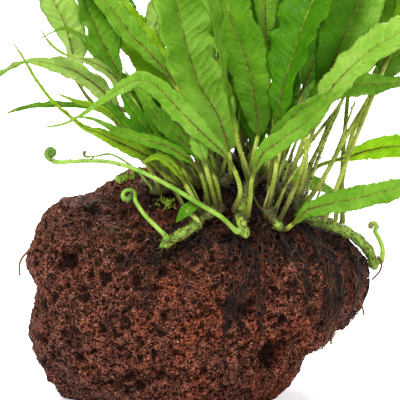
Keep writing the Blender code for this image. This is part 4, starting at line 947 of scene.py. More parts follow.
def root_tree():
    """Tangled fibres around guide lines that lie on the stone, each line with its own spread in mm."""
    recipe, given, result = new_group("Root fibres", "GeometryNodeTree", {
        "Lines": "shape", "Stone": "object", "Fibres": "count", "Step": "float", "Crook": "float",
        "Radius at foot": "float", "Radius at tip": "float", "Lift": "float", "Seed": "count",
        "Finish": "finish"}, {"Roots": "shape"})
    line = recipe.get("GeometryNodeMeshToCurve", 0, {"Mesh": given["Lines"]})
    line = recipe.get("GeometryNodeResampleCurve", 0, {
        "Curve": line, "Length": given["Step"] * MM}, mode="LENGTH")
    copies = recipe.node("GeometryNodeDuplicateElements", {
        "Geometry": line, "Amount": given["Fibres"]}, domain="SPLINE")
    which = recipe.of(copies, "Duplicate Index") * 7.31 + given["Seed"] * 1.7
    fibres = stored(recipe, recipe.of(copies, "Geometry"), "which", which)
    which = named(recipe, "which")
    shorter = recipe.maths("FRACT", which * 1.83)
    fibres = recipe.get("GeometryNodeTrimCurve", 0, {
        "Curve": fibres, "Start": 0.0, "End": shorter * 0.65 + 0.35}, mode="FACTOR")
    place = recipe.scaled(recipe.get("GeometryNodeInputPosition"), 1.0 / MM)

    def uneven(size, output):
        """Noise that changes over the given length in mm and differs for each fibre."""
        return recipe.get("ShaderNodeTexNoise", output, {
            "Vector": place, "W": which, "Scale": 1.0 / size, "Detail": 0.0}, noise_dimensions="4D")

    def wander(size):
        return recipe.vector("SUBTRACT", uneven(size, "Color"), (0.5, 0.5, 0.5))

    shift = recipe.scaled(wander(11.0), named(recipe, "spread") * 6.5)
    shift = recipe.vector("ADD", shift, recipe.scaled(wander(3.6), given["Crook"] * 2.0))
    fibres = recipe.get("GeometryNodeSetPosition", 0, {
        "Geometry": fibres, "Offset": recipe.scaled(shift, MM)})

    # Laid on the stone, but where they hang in the air
    stone = recipe.get("GeometryNodeObjectInfo", "Geometry", {
        "Object": given["Stone"]}, transform_space="RELATIVE")
    ground = recipe.get("GeometryNodeProximity", "Position", {0: stone}, target_element="FACES")
    normal = recipe.get("GeometryNodeSampleNearestSurface", 0, {
        "Mesh": stone, "Value": recipe.get("GeometryNodeInputNormal")}, data_type="FLOAT_VECTOR")
    rise = uneven(4.0, "Fac") + 0.1
    laid = recipe.vector("ADD", ground, recipe.scaled(normal, rise * given["Lift"] * MM))
    laid = recipe.get("ShaderNodeMix", 1, {
        0: named(recipe, "air"), 4: laid, 5: recipe.get("GeometryNodeInputPosition")}, data_type="VECTOR")
    fibres = recipe.get("GeometryNodeSetPosition", 0, {"Geometry": fibres, "Position": laid})

    run = recipe.get("GeometryNodeSplineParameter")
    radius = recipe.between(run, given["Radius at foot"], given["Radius at tip"])
    chance = recipe.wave(which, 1.0) * 0.3 + 1.0
    skin = recipe.get("GeometryNodeCurveToMesh", 0, {
        "Curve": fibres, "Profile Curve": ring(recipe, 4), "Scale": radius * chance, "Fill Caps": True})
    real = recipe.get("GeometryNodeRealizeInstances", 0, {"Geometry": smooth(recipe, skin)})
    return put_out(recipe, result, {"Roots": coated(recipe, real, given["Finish"])})


# Finishes

def mottle_group():
    """Soft cloudy patches of two sizes over a place in metres."""
    recipe, given, result = new_group("Soft mottle", "ShaderNodeTree", {
        "Place": "place", "Patch": "float", "Grain": "float"}, {"Mottle": "float", "Fine": "float"})
    broad = recipe.cloud(given["Place"], given["Patch"], 3.0, 0, 0.6)
    fine = recipe.cloud(given["Place"], given["Grain"], 2.0, 0, 0.6)
    return put_out(recipe, result, {
        "Mottle": recipe.rise(broad, 0.32, 0.68), "Fine": recipe.rise(fine, 0.3, 0.7)})


def foam_group():
    """Bent cells with light walls between them: Deep is 1 in the middle of an open cell."""
    recipe, given, result = new_group("Stone foam", "ShaderNodeTree", {
        "Place": "place", "Cell": "float", "Open": "float"}, {"Deep": "float"})
    stray = recipe.cloud(given["Place"], given["Cell"] * 1.3, 1.0, "Color")
    stray = recipe.scaled(stray, given["Cell"] * 1.1)
    cells = {"Vector": recipe.vector("ADD", given["Place"], stray), "Scale": 1.0 / given["Cell"]}
    edge = recipe.get("ShaderNodeTexVoronoi", "Distance", cells, feature="DISTANCE_TO_EDGE")
    chance = recipe.get("ShaderNodeSeparateColor", 0, {0: recipe.get("ShaderNodeTexVoronoi", "Color", cells)})
    open_cell = recipe.rise(chance, given["Open"], given["Open"] * 0.8)
    return put_out(recipe, result, {"Deep": recipe.rise(edge, 0.05, 0.3) * open_cell})


def speckle_group():
    """Small dark specks in a share of the cells of a pattern."""
    recipe, given, result = new_group("Scaly specks", "ShaderNodeTree", {
        "Place": "place", "Cell": "float", "Amount": "float"}, {"Specks": "float"})
    cells = recipe.node("ShaderNodeTexVoronoi", {"Vector": given["Place"], "Scale": 1.0 / given["Cell"]})
    colour = recipe.node("ShaderNodeSeparateColor", {0: recipe.of(cells, "Color")})
    size = recipe.of(colour, 1) * 0.3 + 0.2
    chosen = recipe.maths("LESS_THAN", recipe.of(colour, 0), given["Amount"])
    specks = (1.0 - recipe.rise(recipe.of(cells, "Distance"), size * 0.7, size)) * chosen
    return put_out(recipe, result, {"Specks": specks})


def vein_group():
    """Side veins at whole numbers of a phase, and the net of finer veins between them."""
    recipe, given, result = new_group("Leaf veins", "ShaderNodeTree", {
        "Phase": "float", "Sheet": "place", "Edge": "float"}, {
        "Veins": "float", "Net": "float", "Relief": "float"})
    crease = abs(recipe.maths("SINE", given["Phase"] * math.pi))
    inner = 1.0 - recipe.rise(given["Edge"], 0.75, 0.95)
    veins = (1.0 - recipe.rise(crease, 0.05, 0.35)) * inner
    cells = recipe.get("ShaderNodeTexVoronoi", "Distance", {
        "Vector": given["Sheet"], "Scale": 0.9, "Randomness": 0.9}, feature="DISTANCE_TO_EDGE")
    net = 1.0 - recipe.rise(cells, 0.02, 0.14)
    relief = crease * 0.5 * inner + (1.0 - net) * 0.18
    return put_out(recipe, result, {"Veins": veins, "Net": net, "Relief": relief})


def new_finish(name):
    """An empty material and its recipe."""
    material = bpy.data.materials.new(name)
    material.use_nodes = True
    material.node_tree.nodes.clear()
    return material, Recipe(material.node_tree)


def finish_with(recipe, shader):
    end = recipe.node("ShaderNodeOutputMaterial")
    recipe.tree.links.new(shader.socket, end.inputs["Surface"])


def skin_of(recipe, colour, rough, **more):
    """The surface itself; more holds its other inputs, with underscores for the spaces of their names."""
    inputs = {"Base Color": colour, "Roughness": rough}
    inputs.update({key.replace("_", " "): value for key, value in more.items()})
    return recipe.get("ShaderNodeBsdfPrincipled", 0, inputs)


def attribute(recipe, name):
    return recipe.get("ShaderNodeAttribute", "Fac", attribute_name=name)


def object_place(recipe):
    return recipe.get("ShaderNodeTexCoord", "Object")


def mottled(recipe, groups, patch, grain):
    """Patches and grains over the piece, as terms."""
    node = recipe.group(groups["mottle"], {"Place": object_place(recipe), "Patch": patch, "Grain": grain})
    return recipe.of(node, "Mottle"), recipe.of(node, "Fine")


def speckled(recipe, groups, place, cell, amount):
    node = recipe.group(groups["specks"], {"Place": place, "Cell": cell, "Amount": amount})
    return recipe.of(node, "Specks")


def bump(recipe, height, distance, strength=1.0):
    return recipe.get("ShaderNodeBump", 0, {"Height": height, "Distance": distance, "Strength": strength})


def blade_colour(recipe, tone, look, groups):
    """Mottled green with side veins, a rim lightened with painted light, painted shade towards the foot, a
    few specks and a dead tip; adds the veins' relief.
    """
    shade, light, _ = TONES[tone]
    veins = recipe.group(groups["veins"], {
        "Phase": attribute(recipe, "vein"), "Sheet": look.sheet, "Edge": look.rim})
    look.veins = recipe.of(veins, "Relief")
    patch = look.mottle * 0.7 + look.fine * 0.3
    blade = recipe.blend(patch, shade, light)
    if tone == "halved":
        # The right half catches the light
        lit = recipe.blend(patch, *TONES["soft"][:2])
        blade = recipe.blend(recipe.rise(look.across, -0.2, 0.4), blade, lit)
    deep = tuple(c * 0.55 for c in shade)
    edge_light = (light[0] * 1.15 + 0.02, light[1] * 1.1 + 0.02, light[2])
    blade = recipe.blend(look.veins * 0.18, blade, deep)
    blade = recipe.blend(recipe.of(veins, "Veins") * 0.28, blade, edge_light)
    blade = recipe.blend(recipe.of(veins, "Net") * 0.22, blade, deep)
    # The rim is thin and lets more light through
    blade = recipe.blend(recipe.rise(look.rim, 0.88, 1.0) * 0.45, blade, edge_light)
    # Painted shade: the blade darkens towards its foot, down in the thicket
    blade = recipe.blend((1.0 - recipe.rise(look.share, 0.0, 0.22)) * 0.6, blade, deep)
    few_specks = speckled(recipe, groups, look.sheet, 1.3, 0.02)
    blade = recipe.blend(few_specks * 0.45, blade, (0.09, 0.06, 0.012))
    dead = recipe.rise(look.share + look.fine * 0.02, 0.985, 1.0)
    return recipe.blend(dead * 0.8, blade, (0.16, 0.08, 0.03))


def rib_over(recipe, blade, look):
    """The blade with its rib: brown and scaly near the foot, broken into dots, and green at the tip."""
    width = recipe.between(recipe.rise(look.share, 0.0, 0.75), 0.42, 0.15) * (look.fine * 0.5 + 0.75)
    look.on_rib = 1.0 - recipe.rise(abs(look.across), width * 0.7, width * 1.2)
    brownness = 1.0 - recipe.rise(look.share + look.fine * 0.5, 0.35, 1.0)
    rib = recipe.blend(brownness * 0.85, (0.24, 0.32, 0.03), (0.085, 0.036, 0.009))
    blade = recipe.blend(look.on_rib * 0.9, blade, rib)
    close = 1.0 - recipe.rise(abs(look.across), 0.35, 0.9)
    return recipe.blend(look.specks * close * brownness * 0.95, blade, (0.03, 0.009, 0.005))


def stalk_colour(recipe, look):
    """Olive with brown scabs, with painted shade at the foot in the thick of the plant, less of it on the
    right.
    """
    stalk = recipe.blend(look.mottle, (0.15, 0.22, 0.012), (0.40, 0.47, 0.08))
    right = recipe.get("ShaderNodeSeparateXYZ", 0, {0: object_place(recipe)})
    # Painted shade at the stalks' foot in the thicket, weaker on the right where they stand in the light
    foot = recipe.rise(0.0 - look.share, 0.35, 1.0) * (0.9 - 0.65 * recipe.rise(right, 0.036, 0.05))
    stalk = recipe.blend(foot, stalk, (0.030, 0.022, 0.005))
    scab = recipe.rise(recipe.cloud(look.sheet, 0.9, 3.0), 0.60, 0.66)
    return recipe.blend(recipe.most(look.specks * 0.5, scab * 0.85), stalk, (0.06, 0.020, 0.008))


def frond_finish(tone, groups):
    """Blade, rib and stalk of a frond; the blade lets some of the light through."""
    material, recipe = new_finish("frond_" + tone)
    look = SimpleNamespace(**{key: attribute(recipe, key) for key in ("share", "across", "rim")})
    look.sheet = recipe.get("ShaderNodeCombineXYZ", 0, {
        0: look.across, 1: attribute(recipe, "along"), 2: attribute(recipe, "upper") * 7.0})
    look.mottle, look.fine = mottled(recipe, groups, 0.011, 0.0022)
    look.specks = speckled(recipe, groups, look.sheet, 0.8, 0.6)
    blade = rib_over(recipe, blade_colour(recipe, tone, look, groups), look)
    down = recipe.rise(0.0 - look.share, 0.0, 0.12)
    colour = recipe.blend(down, blade, stalk_colour(recipe, look))
    relief = bump(recipe, look.veins * recipe.rise(look.share, 0.0, 0.1) + look.fine * 0.2, 0.0006)
    surface = skin_of(recipe, colour, look.fine * 0.14 + 0.38, Normal=relief, Specular_IOR_Level=0.12)
    through = recipe.get("ShaderNodeBsdfTranslucent", 0, {
        "Color": recipe.blend(0.4, colour, (0.50, 0.85, 0.02)), "Normal": relief})
    glow = TONES[tone][2]
    finish_with(recipe, recipe.get("ShaderNodeMixShader", 0, {
        0: (1.0 - down) * glow * (1.0 - look.on_rib * 0.7), 1: surface, 2: through}))
    return material


def rhizome_finish(groups):
    """Green lumps with brown specks and painted shade in the dents between them, turning dark brown where the
    rhizome is old.
    """
    material, recipe = new_finish("rhizome_skin")
    mottle, fine = mottled(recipe, groups, 0.004, 0.0009)
    specks = speckled(recipe, groups, object_place(recipe), 0.0010, 0.14)
    colour = recipe.blend(mottle, (0.085, 0.19, 0.006), (0.26, 0.41, 0.03))
    painted_shade_in_dents = recipe.rise(attribute(recipe, "lump"), 0.0, -0.14)
    # Painted shade in the dents between the lumps
    colour = recipe.blend(painted_shade_in_dents * 0.6, colour, (0.045, 0.06, 0.006))
    colour = recipe.blend(attribute(recipe, "age") * 0.85, colour, (0.035, 0.032, 0.006))
    colour = recipe.blend(specks * 0.8, colour, (0.07, 0.03, 0.012))
    relief = bump(recipe, fine - specks * 0.5, 0.0004)
    finish_with(recipe, skin_of(recipe, colour, fine * 0.2 + 0.4, Normal=relief))
    return material


def shoot_finish(name, groups, shade, light, tip_colour, freckles, soil_and_shade_at_foot):
    """Smooth juicy stalk of a young frond."""
    material, recipe = new_finish(name)
    mottle, fine = mottled(recipe, groups, 0.006, 0.0008)
    specks = speckled(recipe, groups, object_place(recipe), 0.0013, freckles)
    run = attribute(recipe, "run")
    colour = recipe.blend(mottle, shade, light)
    # Soil, and painted shade, darken the lower half of the stalk
    colour = recipe.blend(recipe.rise(run, 0.5, 0.0) * soil_and_shade_at_foot, colour, (0.016, 0.010, 0.004))
    colour = recipe.blend(recipe.rise(run, 0.84, 0.95) * 0.75, colour, tip_colour)
    colour = recipe.blend(specks * 0.8, colour, (0.09, 0.035, 0.015))
    finish_with(recipe, skin_of(
        recipe, colour, fine * 0.15 + 0.3, Normal=bump(recipe, fine, 0.0001, 0.5), Specular_IOR_Level=0.3,
        Subsurface_Weight=0.08, Subsurface_Radius=(0.3, 0.5, 0.1), Subsurface_Scale=0.002))
    return material


def small_finish(name, groups, dark, light, roughness):
    """Scales, hairs and bits whose colour changes from one to the next."""
    material, recipe = new_finish(name)
    mottle, fine = mottled(recipe, groups, 0.002, 0.0005)
    colour = recipe.blend(attribute(recipe, "tint") * 0.7 + mottle * 0.3, dark, light)
    finish_with(recipe, skin_of(recipe, colour, fine * 0.1 + roughness, Specular_IOR_Level=0.15))
    return material


def root_finish(groups):
    """Nearly black and brown fibres, a few of them amber."""
    material, recipe = new_finish("root_fibre")
    mottle, fine = mottled(recipe, groups, 0.007, 0.0008)
    which = recipe.maths("FRACT", attribute(recipe, "which") * 0.37)
    brown = recipe.rise(mottle * 0.5 + which * 0.5, 0.5, 0.75)
    colour = recipe.blend(brown, (0.005, 0.003, 0.0025), (0.05, 0.020, 0.009))
    amber = recipe.most(attribute(recipe, "amber"), recipe.rise(which, 0.92, 0.95) * 0.45)
    colour = recipe.blend(amber, colour, (0.20, 0.085, 0.03))
    finish_with(recipe, skin_of(recipe, colour, fine * 0.2 + 0.42, Specular_IOR_Level=0.16))
    return material


def stone_finish(groups):
    """Dark red lava: a foam of fine pores with painted shade in them, light grains with painted glints,
    orange and grey patches, algae, and soil with painted shade by the rhizomes.
    """
    material, recipe = new_finish("lava")
    place = object_place(recipe)
    pit, soil, grey, algae, warm = (attribute(recipe, key) for key in STONE_MARKS)
    patches, _ = mottled(recipe, groups, 0.014, 0.004)
    coarse, fine = mottled(recipe, groups, 0.0011, 0.00045)
    pores, pinholes = (
        recipe.of(recipe.group(groups["foam"], {"Place": place, "Cell": cell, "Open": share}), "Deep")
        for cell, share in ((0.00135, 0.75), (0.0007, 0.6)))
    orange = recipe.rise(recipe.cloud(place, 0.012) + warm * 0.12, 0.49, 0.63) * 0.9
    bright = recipe.rise(fine, 0.5, 0.75)
    dim = recipe.rise(recipe.cloud(place, 0.008), 0.48, 0.36)
    colour = recipe.blend(patches, (0.085, 0.024, 0.016), (0.19, 0.042, 0.019))
    for share, layer in (
            (orange, (0.40, 0.064, 0.013)),
            (grey * 0.6, (0.10, 0.052, 0.040)),
            (coarse * 0.5, (0.30, 0.072, 0.036)),
            # Light grains, partly painted glints
            (bright * 0.65, (0.56, 0.20, 0.12)),
            (recipe.rise(fine, 0.5, 0.25) * 0.7, (0.018, 0.006, 0.004)),
            # Painted shade in the pinholes and pores of the foam
            (pinholes * 0.85, (0.009, 0.003, 0.002)),
            (pores * 0.95, (0.007, 0.003, 0.002)),
            (dim * 0.45, (0.014, 0.005, 0.004)),
            (algae * 0.55, (0.055, 0.045, 0.008)),
            # Painted shade in the pits and hollows
            (recipe.rise(pit, 0.2, 0.8) * 0.9, (0.006, 0.003, 0.002)),
            # Soil, and painted shade under the plant
            (soil * 0.85, (0.010, 0.006, 0.004))):
        colour = recipe.blend(share, colour, layer)
    relief = bump(recipe, coarse * 0.5 + fine * 0.4 - pinholes * 0.5 - pores, 0.0011)
    shine = bright * (1.0 - pores) * (1.0 - recipe.rise(pit, 0.1, 0.5)) * 0.3
    finish_with(recipe, skin_of(
        recipe, colour, fine * 0.2 + 0.5, Normal=relief, Specular_IOR_Level=0.06, Coat_Weight=shine,
        Coat_Roughness=0.25))
    return material


def floor_finish(groups):
    """Pale floor that looks a little lighter to the camera than the light on it makes it."""
    material, recipe = new_finish("floor")
    mottle, _ = mottled(recipe, groups, 0.3, 0.02)
    colour = recipe.blend(mottle, (0.93, 0.93, 0.93), (0.95, 0.95, 0.95))
    seen = recipe.get("ShaderNodeLightPath", "Is Camera Ray")
    finish_with(recipe, skin_of(
        recipe, colour, 0.9, Specular_IOR_Level=0.1, Emission_Color=(1.0, 1.0, 1.0),
        Emission_Strength=seen * FLOOR_LIFT))
    return material


def all_finishes():
    """Materials by name, with the groups of nodes that they share."""
    groups = {
        "mottle": mottle_group(), "foam": foam_group(), "specks": speckle_group(), "veins": vein_group()}
    finishes = {"frond_" + tone: frond_finish(tone, groups) for tone in TONES}
    finishes.update({name: shoot_finish(name, groups, *look) for name, look in SHOOTS.items()})
    finishes.update({name: small_finish(name, groups, *look) for name, look in BITS.items()})
    finishes.update({
        "lava": stone_finish(groups), "rhizome": rhizome_finish(groups), "root": root_finish(groups),
        "floor": floor_finish(groups)})
    return finishes


# Stone

def softened_stone(node):
    """Even fine mesh over the stone's solid, with its facets rounded off."""
    bm = bmesh.new()
    bm.from_mesh(node.data)
    bmesh.ops.remove_doubles(bm, verts=bm.verts, dist=1e-6)
    mesh = bpy.data.meshes.new("stone_soft")
    bm.to_mesh(mesh)
    bm.free()
    obj = new_piece("stone_soft", mesh)
    even = obj.modifiers.new("even", "REMESH")
    even.mode = "VOXEL"
    even.voxel_size = ROUNDING_VOXEL * MM
    soften = obj.modifiers.new("soften", "SMOOTH")
    soften.factor = 0.5
    soften.iterations = 6
    fine = obj.modifiers.new("fine", "REMESH")
    fine.mode = "VOXEL"
    fine.voxel_size = STONE_VOXEL * MM
    depsgraph = bpy.context.evaluated_depsgraph_get()
    made = bpy.data.meshes.new_from_object(obj.evaluated_get(depsgraph), depsgraph=depsgraph)
    bpy.data.objects.remove(obj)
    return made


def pore(place, size, limit):
    """How deep a place lies in a cell of the foam: 0 on the walls, 1 in the middle of an open cell."""
    distances, centres = noise.voronoi(place / size + noise.noise_vector(place / size * 0.7) * 0.5)
    if noise.cell(centres[0] * 3.7) > limit:
        return 0.0
    inside = min(max((distances[1] - distances[0] - 0.06) / 0.5, 0.0), 1.0)
    return inside * (2.0 - inside)


def soft_front(surface, right, up):
    """How far to the front the surface lies at a drawn place."""
    return surface.ray_cast(Vector((right, up, 100.0)), Vector((0.0, 0.0, -1.0)))[0].z


def stain(spot, stains):
    """How strongly a drawn place on the front lies in any of the stains."""
    return max(
        strength * math.exp(-((spot[0] - right) ** 2 + (spot[1] - up) ** 2) / reach ** 2)
        for right, up, reach, strength in stains)


def roughen_stone(mesh, soft, rhizomes):
    """Push lumps and pores into the stone, and note how deep each place is, for the painted shade in its
    pits, and how soiled and shaded by the plant it is.
    """
    # Without a seed the shifts inside noise_vector come from the clock
    noise.seed_set(STONE_SEED)
    marks = {key: [] for key in STONE_MARKS}
    places = [v.co.copy() / MM for v in mesh.vertices]
    normals = [v.normal.copy() for v in mesh.vertices]
    drawn = frame_to_drawn([p * MM for p in places])
    hollows = [((right, up, soft_front(soft, right, up)), reach, depth)
               for right, up, reach, depth in HOLLOWS]
    for vertex, place, normal, spot in zip(mesh.vertices, places, normals, drawn):
        push = LUMP_HEIGHT * noise.fractal(place / LUMP_SIZE, 0.7, 2.1, 4) + 0.3 * noise.noise(place / 1.1)
        deep = 0.0
        for size, depth, limit in PORES:
            inside = pore(place, size, limit)
            push -= depth * inside
            deep = max(deep, inside * 0.75)
        for centre, reach, depth in hollows:
            apart = math.dist(spot, centre) / reach * (1.0 + 0.3 * noise.noise(place / 2.0))
            if apart < 1.0:
                push -= depth * (1.0 - apart * apart)
                deep = max(deep, 1.0 - apart * apart)
        # The cut that it stands on stays flat
        held = min(max((place.z - 0.2) / 2.5, 0.0), 1.0) if normal.z < -0.3 else 1.0
        vertex.co = (place + normal * push * held) * MM
        # Soil, with painted shade where the plant hangs over the stone, close to the rhizomes
        apart = min(tree.find_nearest(Vector(spot))[3] for tree in rhizomes)
        ragged = 0.6 + 0.8 * noise.noise(place / 3.0)
        marks["pit"].append(min(1.0, deep) * held)
        marks["soil"].append(max(math.exp(-max(apart - 2.0, 0.0) / 6.0), stain(spot, SOILED) * ragged))
        marks["grey"].append(min(max((-spot[0] - 12.0) / 30.0 + 0.5 * noise.noise(place / 14.0), 0.0), 1.0))
        marks["algae"].append(stain(spot, ALGAE) * ragged)
        marks["warm"].append(stain(spot, WARM) * ragged)
    for vertex in mesh.vertices:
        vertex.co.z = max(vertex.co.z, 0.0)
    for key, rows in marks.items():
        mesh.attributes.new(key, "FLOAT", "POINT").data.foreach_set("value", rows)
    mesh.polygons.foreach_set("use_smooth", [True] * len(mesh.polygons))
    mesh.update()


# Lines that the fern grows along

def evenly(curve, step, more):
    """Even lengths along a curve, the places there and their share of it."""
    lengths = np.linspace(0.0, curve.length, max(int(curve.length / step) + more, 3))
    return lengths, curve.at(lengths)[0], lengths / curve.length


def frond_midline(frond, rhizomes):
    """Line of evenly placed points from the foot to the tip, with the way that the blade faces."""
    clear = STALK_GAP + STALK_RADIUS[0]
    root, foot = start_on(rhizomes, frond.points[0], clear)
    curve = Curve([foot, *frond.points[1:]])
    start = frond.blade * curve.length
    blade_length = curve.length - start
    lengths = np.concatenate([
        np.arange(0.0, start, STALK_STEP),
        np.linspace(start, curve.length, int(blade_length / BLADE_STEP) + 2),
    ])
    place, along = curve.at(lengths)
    share = np.where(lengths < start, lengths / start - 1.0, (lengths - start) / blade_length)
    out = np.array([0.0, 0.0, 1.0]) - along * along[:, 2:3]
    out /= np.linalg.norm(out, axis=1)[:, None]
    side = np.cross(along, out)
    rolls = [np.array([math.radians(angle)]) for angle in frond.roll]
    roll = np.array([catmull_rom(rolls, max(s, 0.0))[0] for s in share])[:, None]
    out = out * np.cos(roll) + side * np.sin(roll)
    # One more point inside the rhizome
    place = np.concatenate([[root], place])
    out = np.concatenate([out[:1], out])
    share = np.concatenate([[-1.1], share])
    along = np.concatenate([[-start - STALK_GAP - STALK_RADIUS[0]], lengths - start])
    values = {"share": share, "along": along, "out": drawn_to_frame(out) / MM}
    return thread(frond.name + "_line", [(place, values)]), blade_length


def thicket_runs(surface, random):
    """Lines of thin stalks fanned out from the rhizomes, some of them broken off short."""
    runs = []
    for name, first, count in THICKET:
        rough = Curve(RHIZOMES[name][1])
        for _ in range(count):
            spot = rough.at([rough.length * random.uniform(first, 1.0)])[0][0]
            place = surface.find_nearest(Vector(spot))[0]
            reach = FAN_REACH[0] if place.x < FAN_MIDDLE else FAN_REACH[1]
            lean = (place.x - FAN_MIDDLE) / reach + random.normal(0.0, 0.16)
            heading = Vector((lean, 1.0, random.uniform(-0.45, 0.05))).normalized()
            sag = Vector(random.normal(0.0, 0.05, 3))
            length = random.uniform(5.0, 14.0) if random.random() < 0.25 else random.uniform(20.0, 44.0)
            radius = random.uniform(0.38, 0.68)
            line = Curve([place + heading * s * length + sag * length * s * (1.0 - s) * 4.0
                          for s in np.linspace(0.0, 1.0, 6)])
            lengths, places, run = evenly(line, 1.2, 3)
            runs.append((places, {
                "radius": radius * (1.0 - 0.3 * run) * (1.0 + 0.6 * np.exp(-lengths / 1.5)),
                "run": run * 0.9, "scaly": 1.0 - 0.5 * run}))
    return runs


def stalk_runs(surface):
    """Lines of the stalks in STALKS, each begun on a rhizome."""
    runs = []
    for radius, points in STALKS:
        line = Curve([surface.find_nearest(Vector(points[0]))[0], *points])
        lengths, places, run = evenly(line, 1.0, 3)
        runs.append((places, {
            "radius": radius * (1.0 - 0.2 * run) * (1.0 + 0.5 * np.exp(-lengths / 1.5)),
            "run": run * 0.8, "scaly": 1.6 - 0.8 * run}))
    return runs


def root_values(count, spread, air, amber):
    return {key: np.broadcast_to(value, count) for key, value in (
        ("spread", spread), ("air", air), ("amber", amber))}


def root_run(surface, path, spread, amber=0.0):
    """Guide on the front of the stone below drawn (right, up) points; a third number is the spread there."""
    laid, width = [], []
    for point in path:
        hit = surface.ray_cast(Vector((point[0], point[1], 100.0)), Vector((0.0, 0.0, -1.0)))[0]
        if hit is None:
            hit = surface.find_nearest(Vector((point[0], point[1], 0.0)))[0]
        laid.append(hit)
        width.append(point[2] if len(point) > 2 else spread)
    _, places, run = evenly(Curve(laid), 1.5, 0)
    wide = np.interp(run * (len(path) - 1), range(len(path)), width)
    return places, root_values(len(run), wide, 0.0, amber)


def free_run(amber, *path):
    """Guide through drawn points that hangs free of the stone."""
    places = evenly(Curve(path), 1.0, 3)[1]
    return places, root_values(len(places), 0.1, 1.0, amber)


def wandering_run(surface, start, length, random):
    """Guide that creeps down over the stone from a place on it."""
    place, normal, _, _ = surface.find_nearest(Vector(start))
    heading = Vector(random.normal(0.0, 1.0, 3)) + Vector((0.0, -1.4, 0.0))
    path = [place]
    for _ in range(int(length / 2.0)):
        heading = heading + Vector(random.normal(0.0, 0.45, 3)) + Vector((0.0, -0.12, 0.0))
        heading = (heading - normal * heading.dot(normal)).normalized()
        place, normal, _, _ = surface.find_nearest(path[-1] + heading * 2.0)
        path.append(place)
    return [tuple(p) for p in path], root_values(len(path), 0.5, 0.0, 0.0)


# Fern

# What the pieces are grown with: finishes and small shapes by name, trees of nodes by kind, surfaces of the
# rhizomes' and the stone's solids and of the softened stone, and the object that fibres are laid on
Kit = namedtuple("Kit", "finishes shapes trees rhizomes solid soft ground")


def make_frond(frond, seed, kit):
    line, blade_length = frond_midline(frond, kit.rhizomes)
    tone = next((tone for tone, names in TONED.items() if frond.name in names), "green")
    return grown(frond.name + "_blade", line, kit.trees["frond"], {
        **BLADE, "Half width": frond.width, "Blade length": blade_length,
        "Widest power": math.log(0.5) / math.log(frond.widest), "Slimness": frond.slimness,
        "Fold": math.radians(frond.fold), "Seed": seed, "Scale": kit.shapes["scale"],
        "Hair": kit.shapes["hair"], "Finish": kit.finishes["frond_" + tone],
        "Scale finish": kit.finishes["scale"]})


def make_stem(name, runs, seed, finish, kit, look):
    """Stems around lines that carry radius, run (0 at the foot, 1 at the tip) and how scaly they are."""
    return grown(name, thread(name + "_line", runs), kit.trees["stem"], {
        **STEM, **look, "Seed": seed, "Scale": kit.shapes["scale"], "Hair": kit.shapes["hair"],
        "Finish": kit.finishes[finish], "Scale finish": kit.finishes["scale"],
        "Hair finish": kit.finishes["hair"]})


def make_rhizome(name, seed, kit):
    """Rhizome laid on the stone as in the part, swollen between its leaf scars."""
    radius, rough = RHIZOMES[name]
    laid = []
    for point in rough:
        place, normal, _, _ = kit.solid.find_nearest(Vector(point))
        laid.append(place + normal * (radius + RHIZOME_LIFT))
    curve = Curve(laid)
    lengths, places, run = evenly(curve, 0.6, 2)
    swell = 1.0 + 0.08 * np.sin(lengths / 1.1) + 0.05 * np.sin(lengths / 0.47 + 2.0)
    ends = np.sqrt(np.clip(np.minimum(lengths, curve.length - lengths) / radius, 0.02, 1.0))
    return make_stem(name + "_skin", [(places, {
        "radius": radius * RHIZOME_SLIMMING * swell * ends, "run": run, "scaly": np.ones(len(run)),
        "age": np.clip((run - FRESH[name]) / 0.2, 0.0, 1.0)})], seed, "rhizome", kit, RHIZOME_STEM)


def make_fiddlehead(fiddle, seed, kit):
    """Young frond: a stalk that ends in a flat coil around its last point."""
    centre = Vector(fiddle.points[-1])
    path = [*start_on(kit.rhizomes, fiddle.points[0], STALK_GAP + fiddle.radius)]
    path += [Vector(p) for p in fiddle.points[1:-1]]
    arm = (path[-1] - centre) * COIL_START
    first = math.atan2(arm.y, arm.x)
    turns = fiddle.turns * COIL_TIGHTNESS
    steps = int(abs(turns) * COIL_STEPS)
    heart = fiddle.coil * COIL_HEART
    for k in range(1, steps + 1):
        angle = first + math.tau * turns * k / steps
        reach = heart + (arm.length - heart) * (1.0 - k / steps) ** 1.7
        path.append(centre + Vector((math.cos(angle) * reach, math.sin(angle) * reach, 0.0)))
    curve = Curve(path)
    lengths, places, run = evenly(curve, 0.5, 2)
    ends = np.sqrt(np.clip((curve.length - lengths) / fiddle.radius, 0.02, 1.0))
    clubbed = 1.0 + 0.5 * np.clip((run - 0.82) / 0.12, 0.0, 1.0)
    radius = fiddle.radius * (0.95 - 0.15 * run) * ends * clubbed * (1.0 + 0.6 * np.exp(-lengths / 1.8))
    finish = "brown_shoot" if fiddle.name == BROWN_FIDDLEHEAD else "shoot"
    return make_stem(fiddle.name + "_shoot", [(places, {
        "radius": radius, "run": run, "scaly": 0.15 + 0.85 * np.clip((run - 0.6) / 0.3, 0.0, 1.0)})],
        seed, finish, kit, SHOOT_STEM)


def make_roots(name, runs, seed, fibres, kit, look):
    return grown(name, thread(name + "_line", runs), kit.trees["root"], {
        **ROOTS, **look, "Stone": kit.ground, "Fibres": fibres, "Seed": seed,
        "Finish": kit.finishes["root"]})


def small_fronds(random):
    """Narrow young fronds between the large ones."""
    fronds = list(BETWEEN)
    for side, count, foot_low, foot_high, tip_low, tip_high in SMALL_FRONDS:
        for k in range(count):
            foot = random.uniform(foot_low, foot_high)
            tip = random.uniform(tip_low, tip_high)
            bow = random.normal(0.0, 1.6, 3)
            points = [tuple(foot + (tip - foot) * s + bow * math.sin(math.pi * s))
                      for s in np.linspace(0, 1, 5)]
            roll = random.uniform(-60.0, 60.0)
            fronds.append(Frond(
                f"small_frond_{side}_{k}", random.uniform(0.2, 0.4), random.uniform(1.2, 2.3), 0.45, 0.9, 20,
                (roll, roll + random.uniform(-30.0, 30.0)), points))
    return fronds


